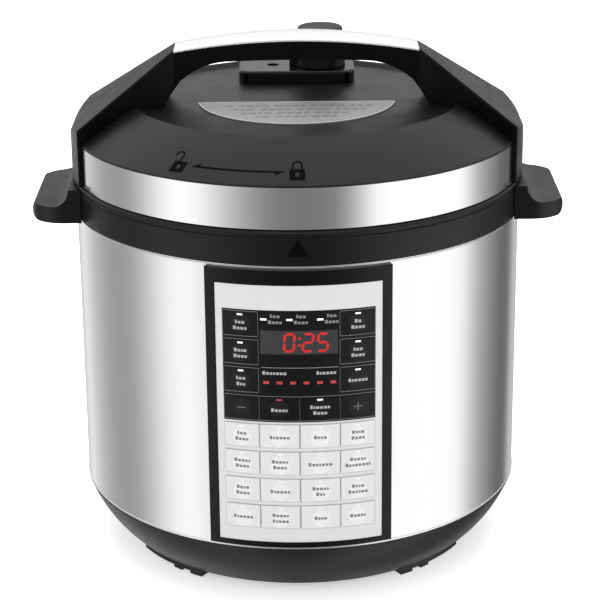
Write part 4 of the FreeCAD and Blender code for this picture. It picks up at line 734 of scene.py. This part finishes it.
def segment_bars(x, y, width, height, slant, names):
    """A digit's lit segments as outlines: a top, b c right, d bottom, e f left, g middle."""
    thick, gap, middle = SEGMENT_THICK, SEGMENT_GAP, height / 2
    spans = {
        "a": ("h", height - thick / 2), "g": ("h", middle), "d": ("h", thick / 2),
        "f": ("v", 0, 1), "b": ("v", 1, 1), "e": ("v", 0, 0), "c": ("v", 1, 0),
    }
    outlines = []
    for name in names:
        kind = spans[name]
        half = thick / 2
        if kind[0] == "h":
            a, b = half + gap, width - half - gap
            level = kind[1]
            points = [(a, level), (a + half, level - half), (b - half, level - half),
                      (b, level), (b - half, level + half), (a + half, level + half)]
        else:
            column = half + kind[1] * (width - thick)
            low = (middle if kind[2] else half) + gap
            high = (height - half if kind[2] else middle) - gap
            points = [(column, low), (column + half, low + half), (column + half, high - half),
                      (column, high), (column - half, high - half), (column - half, low + half)]
        outlines.append([(x + px + slant * py, y + py) for px, py in points])
    return outlines


DIGITS = {"0": "abcdef", "2": "abged", "5": "afgcd"}
DIGIT_TALL, DIGIT_WIDE, SLANT = 12.2 * MM, 7.2 * MM, 0.06
CLOCK_DIGITS = (("0", -9.6 * MM), ("2", 1.2 * MM), ("5", 9.8 * MM))
COLON_LEFT, COLON_SIZE, COLON_HEIGHTS = -0.9 * MM, 1.5 * MM, (0.3, 0.66)
# Millimetres right of the middle, and half widths, of the lamps above and below the clock.
STATUS_LAMPS, STATUS_HALF, STATUS_CAPTION_SHIFT = (-20.4, -5.4, 12.3), 1.8, 6.6
PRESSURE_LAMPS, PRESSURE_HALF = [-19.3 + 7.8 * step for step in range(6)], 1.65


def clock(shape):
    """The lit digits and the two square dots of the colon."""
    base = WINDOW_MIDDLE - DIGIT_TALL / 2
    for digit, x in CLOCK_DIGITS:
        for outline in segment_bars(x, base, DIGIT_WIDE, DIGIT_TALL, SLANT, DIGITS[digit]):
            slab(shape, outline, LENS_FACE, INK)
    for up in COLON_HEIGHTS:
        x, y = COLON_LEFT + SLANT * DIGIT_TALL * up, base + DIGIT_TALL * up
        slab(shape, [(x, y), (x + COLON_SIZE, y), (x + COLON_SIZE, y + COLON_SIZE),
                     (x, y + COLON_SIZE)], LENS_FACE, INK)


def field_marks(shape):
    """Status lamps with captions, a rule, its two captions and the row of pressure lamps."""
    top = black_high
    for arc in STATUS_LAMPS:
        bar(shape, (arc - STATUS_HALF) * MM, (arc + STATUS_HALF) * MM,
            top - 6.2 * MM, top - 5.0 * MM, FILM_FACE, INK, 0)
        caption(shape, (arc + STATUS_CAPTION_SHIFT) * MM, top - 5.6 * MM, (3, 4), FILM_FACE, 2)
    rule = WINDOW_MIDDLE - 15.8 * MM
    bar(shape, -22.2 * MM, 22.6 * MM, rule - 0.2 * MM, rule + 0.2 * MM, FILM_FACE, INK, 2)
    caption(shape, -14.5 * MM, rule - 3.6 * MM, (7,), FILM_FACE, 1)
    caption(shape, 15.6 * MM, rule - 3.6 * MM, (6,), FILM_FACE, 1)
    for arc in PRESSURE_LAMPS:
        bar(shape, (arc - PRESSURE_HALF) * MM, (arc + PRESSURE_HALF) * MM,
            rule - 10.2 * MM, rule - 8.5 * MM, FILM_FACE, INK, 3)


new_piece("lit_clock_digits", clock, [digit_red], "base")
new_piece("status_marks", field_marks, [lamp_white, ink_pale, ink_grey, lamp_red],
          "base")
print("clock digits", round(DIGIT_TALL / MM, 1), "mm high;", len(PRESSURE_LAMPS), "pressure lamps")

# %% [markdown]
# The lid cover is marked with an open padlock, a double arrow and a closed padlock, and the collar
# with a pointer. On the real cooker these are moulded marks with a darker, smoother surface than
# the grain around them. They are drawn flat and dropped on to the moulding from above, or wrapped
# on to the collar.

# %% Marks on the lid and the collar
mark_black = moulded_plastic("matt_black_moulded_mark", "#020202", 0.75, 0.9, 0.002, IOR=1.2)
cover_surface = BVHTree.FromPolygons(
    [v.co.copy() for v in nodes["lid_cover"].data.vertices],
    [tuple(p.vertices) for p in nodes["lid_cover"].data.polygons])


def on_cover(angle, radius):
    """The point of the cover's top at an angle right of the front and a distance from the axis."""
    x, y = math.sin(angle) * radius, -math.cos(angle) * radius
    hit = cover_surface.ray_cast(Vector((x, y, 0.5)), Vector((0, 0, -1)))
    return hit[0]


MARK_RADIUS = 130.2 * MM
MARK_PROUD, MARK_SUNK = 0.12 * MM, 0.05 * MM


def cover_slab(shape, outline, turn):
    """An outline of (right, up the slope) points laid on the cover at a turn round the axis."""
    top, bottom = [], []
    for right, up in outline:
        radius = MARK_RADIUS - up
        point = on_cover(turn + right / MARK_RADIUS, radius)
        top.append(shape.verts.new(point + Vector((0, 0, MARK_PROUD))))
        bottom.append(shape.verts.new(point - Vector((0, 0, MARK_SUNK))))
    shape.faces.new(top)
    shape.faces.new(list(reversed(bottom)))
    for i in range(len(outline)):
        j = (i + 1) % len(outline)
        shape.faces.new((top[j], top[i], bottom[i], bottom[j]))


def ring_outline(x, y, outer, inner, start, end, steps=10):
    """A bent strip: an arc of a ring from one angle to another, in degrees."""
    angles = [math.radians(start + (end - start) * i / steps) for i in range(steps + 1)]
    return ([(x + math.cos(a) * outer, y + math.sin(a) * outer) for a in angles]
            + [(x + math.cos(a) * inner, y + math.sin(a) * inner) for a in reversed(angles)])


LOCK_LOW, LOCK_HIGH, LOCK_HALF = -5.5 * MM, 2.0 * MM, 4.4 * MM
LOCK_BORDER, KEYHOLE_HALF = 2.4 * MM, 1.1 * MM
SHACKLE_OUTER, SHACKLE_INNER, SHACKLE_LEG = 3.3 * MM, 2.2 * MM, 2.6 * MM
OPEN_SHIFT, OPEN_RISE = -4.0 * MM, 1.4 * MM


def padlock(shape, turn, lifted):
    """A padlock 8.8 mm wide; the open one has its shackle swung up to the left."""
    for left, right, bottom, top in (
            (-LOCK_HALF, LOCK_HALF, LOCK_LOW, LOCK_LOW + LOCK_BORDER),
            (-LOCK_HALF, LOCK_HALF, LOCK_HIGH - LOCK_BORDER, LOCK_HIGH),
            (-LOCK_HALF, -KEYHOLE_HALF, LOCK_LOW, LOCK_HIGH),
            (KEYHOLE_HALF, LOCK_HALF, LOCK_LOW, LOCK_HIGH)):
        cover_slab(shape, [(left, bottom), (right, bottom), (right, top), (left, top)], turn)
    shift, rise = (OPEN_SHIFT, OPEN_RISE) if lifted else (0, 0)
    bend = LOCK_HIGH + SHACKLE_LEG + rise
    cover_slab(shape, ring_outline(shift, bend, SHACKLE_OUTER, SHACKLE_INNER, 0, 180), turn)
    legs = [(-SHACKLE_OUTER, -SHACKLE_INNER), (SHACKLE_INNER, SHACKLE_OUTER)]
    for left, right in legs[1:] if lifted else legs:
        cover_slab(shape, [(left + shift, LOCK_HIGH), (right + shift, LOCK_HIGH),
                           (right + shift, bend), (left + shift, bend)], turn)


CLOSED_TURN, OPEN_TURN = math.radians(0.0), math.radians(-31.5)
ARROW_START, ARROW_END, ARROW_STEPS = math.radians(-25.6), math.radians(-5.5), 14
ARROW_HALF, HEAD_HALF, HEAD_LENGTH = 0.6 * MM, 2.4 * MM, 5.5 * MM


def lid_marks(shape):
    """Both padlocks and the arrow between them, each arrow end with half a head."""
    padlock(shape, CLOSED_TURN, False)
    padlock(shape, OPEN_TURN, True)
    for i in range(ARROW_STEPS):
        a, b = (ARROW_START + (ARROW_END - ARROW_START) * k / ARROW_STEPS for k in (i, i + 1))
        reach = (b - a) * MARK_RADIUS
        cover_slab(shape, [(0, -ARROW_HALF), (reach, -ARROW_HALF),
                           (reach, ARROW_HALF), (0, ARROW_HALF)], a)
    cover_slab(shape, [(0, -ARROW_HALF), (0, HEAD_HALF), (-HEAD_LENGTH, -ARROW_HALF)],
               ARROW_START)
    cover_slab(shape, [(0, -HEAD_HALF), (HEAD_LENGTH, ARROW_HALF), (0, ARROW_HALF)],
               ARROW_END)


new_piece("lid_turn_marks", lid_marks, [mark_black], "lid")
collar_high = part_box("top_collar")[1]
COLLAR_FACE = collar_high.x
POINTER_TOP, POINTER_BOTTOM = collar_high.z - 3.9 * MM, collar_high.z - 14.9 * MM
POINTER_HALF, POINTER_STEPS = 6.4 * MM, 6


def pointer(shape):
    """A triangle that points up at the lid, cut into level strips so that it bends."""
    half, steps = POINTER_HALF, POINTER_STEPS
    for i in range(steps):
        low, high = (POINTER_BOTTOM + (POINTER_TOP - POINTER_BOTTOM) * k / steps
                     for k in (i, i + 1))
        wide, narrow = half * (1 - i / steps), half * (1 - (i + 1) / steps)
        outline = [(-wide, low), (0, low), (wide, low)]
        outline += [(0, high)] if i == steps - 1 else [(narrow, high), (0, high), (-narrow, high)]
        slab(shape, outline, COLLAR_FACE, INK)


new_piece("collar_pointer", pointer, [mark_black], "base")
print("pointer", round((POINTER_TOP - POINTER_BOTTOM) / MM, 1), "mm high on the collar")

# %% [markdown]
# The steel casing is not cut off raw: its rolled top and bottom edges show as thin bright beads
# beside the plastic. The lid's plate has a raised border and four plain printed rows, and the
# knob's top has a steam sign.

# %% Rolled edges, plate print and knob sign
shell_low, shell_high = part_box("outer_shell")


def bead(shape, radius, level, wire):
    """A thin ring round the body: a circle of 10 points swept round in 256 steps."""
    around, section = 256, 10
    rings = []
    for i in range(around):
        a = 2 * math.pi * i / around
        ring = []
        for t in (2 * math.pi * k / section for k in range(section)):
            reach = radius + wire * math.cos(t)
            ring.append(shape.verts.new((
                math.sin(a) * reach, -math.cos(a) * reach, level + wire * math.sin(t))))
        rings.append(ring)
    for i in range(around):
        here, there = rings[i], rings[(i + 1) % around]
        for k in range(section):
            j = (k + 1) % section
            shape.faces.new((here[k], there[k], there[j], here[j])).smooth = True


BEAD_WIRE, BEAD_INSET = 0.45 * MM, 1.0 * MM
for bead_name, level in (("shell_top_bead", shell_high.z - BEAD_INSET),
                         ("shell_bottom_bead", shell_low.z + BEAD_INSET)):
    new_piece(bead_name, lambda shape, z=level: bead(shape, shell_high.x, z, BEAD_WIRE),
              [shell_steel], "base")

plate_low, plate_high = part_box("caution_plate")
PLATE_RADIUS = 61.7 * MM
PLATE_MIDDLE = plate_low.y + PLATE_RADIUS
RIM_WIDE, RIM_PROUD, RIM_END, RIM_STEPS = 1.1 * MM, 0.12 * MM, 2 * MM, 48
# Each printed row's half length in millimetres, and the block width it starts with.
PLATE_ROWS = ((44, 0), (40, 2), (34, 1), (25, 3))
FIRST_ROW, PLATE_ROW_STEP, PLATE_ROW_TALL = 12, 9.0, 3.0 * MM
PLATE_BLOCK_SCALE, PLATE_BLOCK_GAP, PLATE_WORD_GAP = 2.6, 1.2, 3.6


def plate_slab(shape, outline, material=0):
    """A flat outline on the plate as a thin closed slab."""
    top = [shape.verts.new((x, y, plate_high.z + RIM_PROUD)) for x, y in outline]
    bottom = [shape.verts.new((x, y, plate_high.z)) for x, y in outline]
    faces = [shape.faces.new(top), shape.faces.new(list(reversed(bottom)))]
    for i in range(len(outline)):
        j = (i + 1) % len(outline)
        faces.append(shape.faces.new((top[j], top[i], bottom[i], bottom[j])))
    for face in faces:
        face.material_index = material


def plate_print(shape):
    """A raised rim along the arc and the straight edge, and rows of plain blocks inside."""
    half = (plate_high.x - plate_low.x) / 2
    reach = math.degrees(math.acos((PLATE_MIDDLE - plate_high.y) / PLATE_RADIUS))
    strip = ring_outline(0, PLATE_MIDDLE, PLATE_RADIUS, PLATE_RADIUS - RIM_WIDE,
                         -90 - reach, -90 + reach, RIM_STEPS)
    for i in range(RIM_STEPS):
        plate_slab(shape, [strip[i], strip[i + 1], strip[-2 - i], strip[-1 - i]])
    edge = plate_high.y
    left, right = -half + RIM_END, half - RIM_END
    plate_slab(shape, [(left, edge - RIM_WIDE), (right, edge - RIM_WIDE),
                       (right, edge), (left, edge)])
    for row, (reach_mm, first) in enumerate(PLATE_ROWS):
        y = edge - (FIRST_ROW + PLATE_ROW_STEP * row) * MM
        x, i = -reach_mm * MM, first
        while x < reach_mm * MM:
            width = BLOCK_WIDTHS[i % len(BLOCK_WIDTHS)] * PLATE_BLOCK_SCALE * MM
            plate_slab(shape, [(x, y), (x + width, y), (x + width, y + PLATE_ROW_TALL),
                               (x, y + PLATE_ROW_TALL)], 1)
            x += width + (PLATE_BLOCK_GAP if i % 4 else PLATE_WORD_GAP) * MM
            i += 1


plate_rim = brushed_plate("polished_aluminium_rim", "#e4e4e6")
plate_ink = brushed_plate("grey_etched_aluminium", "#98989a")
new_piece("plate_rim_and_print", plate_print, [plate_rim, plate_ink], "lid")

KNOB_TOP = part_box("steam_knob")[1].z
KNOB_X, KNOB_Y = 15.4 * MM, 60 * MM     # the knob's axis
SIGN_PROUD, SIGN_SUNK = 0.08 * MM, 0.05 * MM
# The strokes, in millimetres: how far apart, half as thick, how wavy, and how long each step is.
STROKE_APART, STROKE_HALF, STROKE_WAVE, STROKE_STEP, STROKE_STEPS = 3.4, 0.55, 0.9, 1.3, 8


def steam_sign(shape):
    """Three rising wavy strokes, generic for steam."""
    steps = STROKE_STEPS
    for stroke in (-1, 0, 1):
        points = []
        for side, walk in ((STROKE_HALF, range(steps + 1)), (-STROKE_HALF, range(steps, -1, -1))):
            for k in walk:
                wave = STROKE_WAVE * math.sin(k / steps * 2 * math.pi)
                points.append((KNOB_X + (stroke * STROKE_APART + side + wave) * MM,
                               KNOB_Y + (k - steps // 2) * STROKE_STEP * MM))
        top = [shape.verts.new((x, y, KNOB_TOP + SIGN_PROUD)) for x, y in points]
        bottom = [shape.verts.new((x, y, KNOB_TOP - SIGN_SUNK)) for x, y in points]
        count = len(points)
        for k in range(steps):
            corners = (k, k + 1, count - 2 - k, count - 1 - k)
            shape.faces.new([top[c] for c in corners])
            shape.faces.new([bottom[c] for c in reversed(corners)])
        for i in range(count):
            j = (i + 1) % count
            shape.faces.new((top[j], top[i], bottom[i], bottom[j]))


knob_top = moulded_plastic("satin_black_knob_sign", "#08080a", 0.3, 0.6, 0.004, IOR=1.54)
new_piece("knob_steam_sign", steam_sign, [knob_top], "steam_knob")
print("beads", round(2 * BEAD_WIRE / MM, 2), "mm thick, plate rim", round(RIM_WIDE / MM, 2),
      "mm wide, knob sign at", round(KNOB_TOP / MM, 1), "mm")

# %% [markdown]
# The temperature sensor's cap stands on a coil of round spring wire. A real coil gets shorter when
# the pot presses the cap down. Here the spring of the engineering model is copied as its own piece,
# with its placement baked in, and the original part is hidden.

# %% Sensor coil
coil = bpy.data.objects.new("sensor_coil", nodes["sensor_spring"].data.copy())
scene.collection.objects.link(coil)
coil.matrix_world = nodes["sensor_spring"].matrix_world.copy()
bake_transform(coil)
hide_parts("sensor_spring")
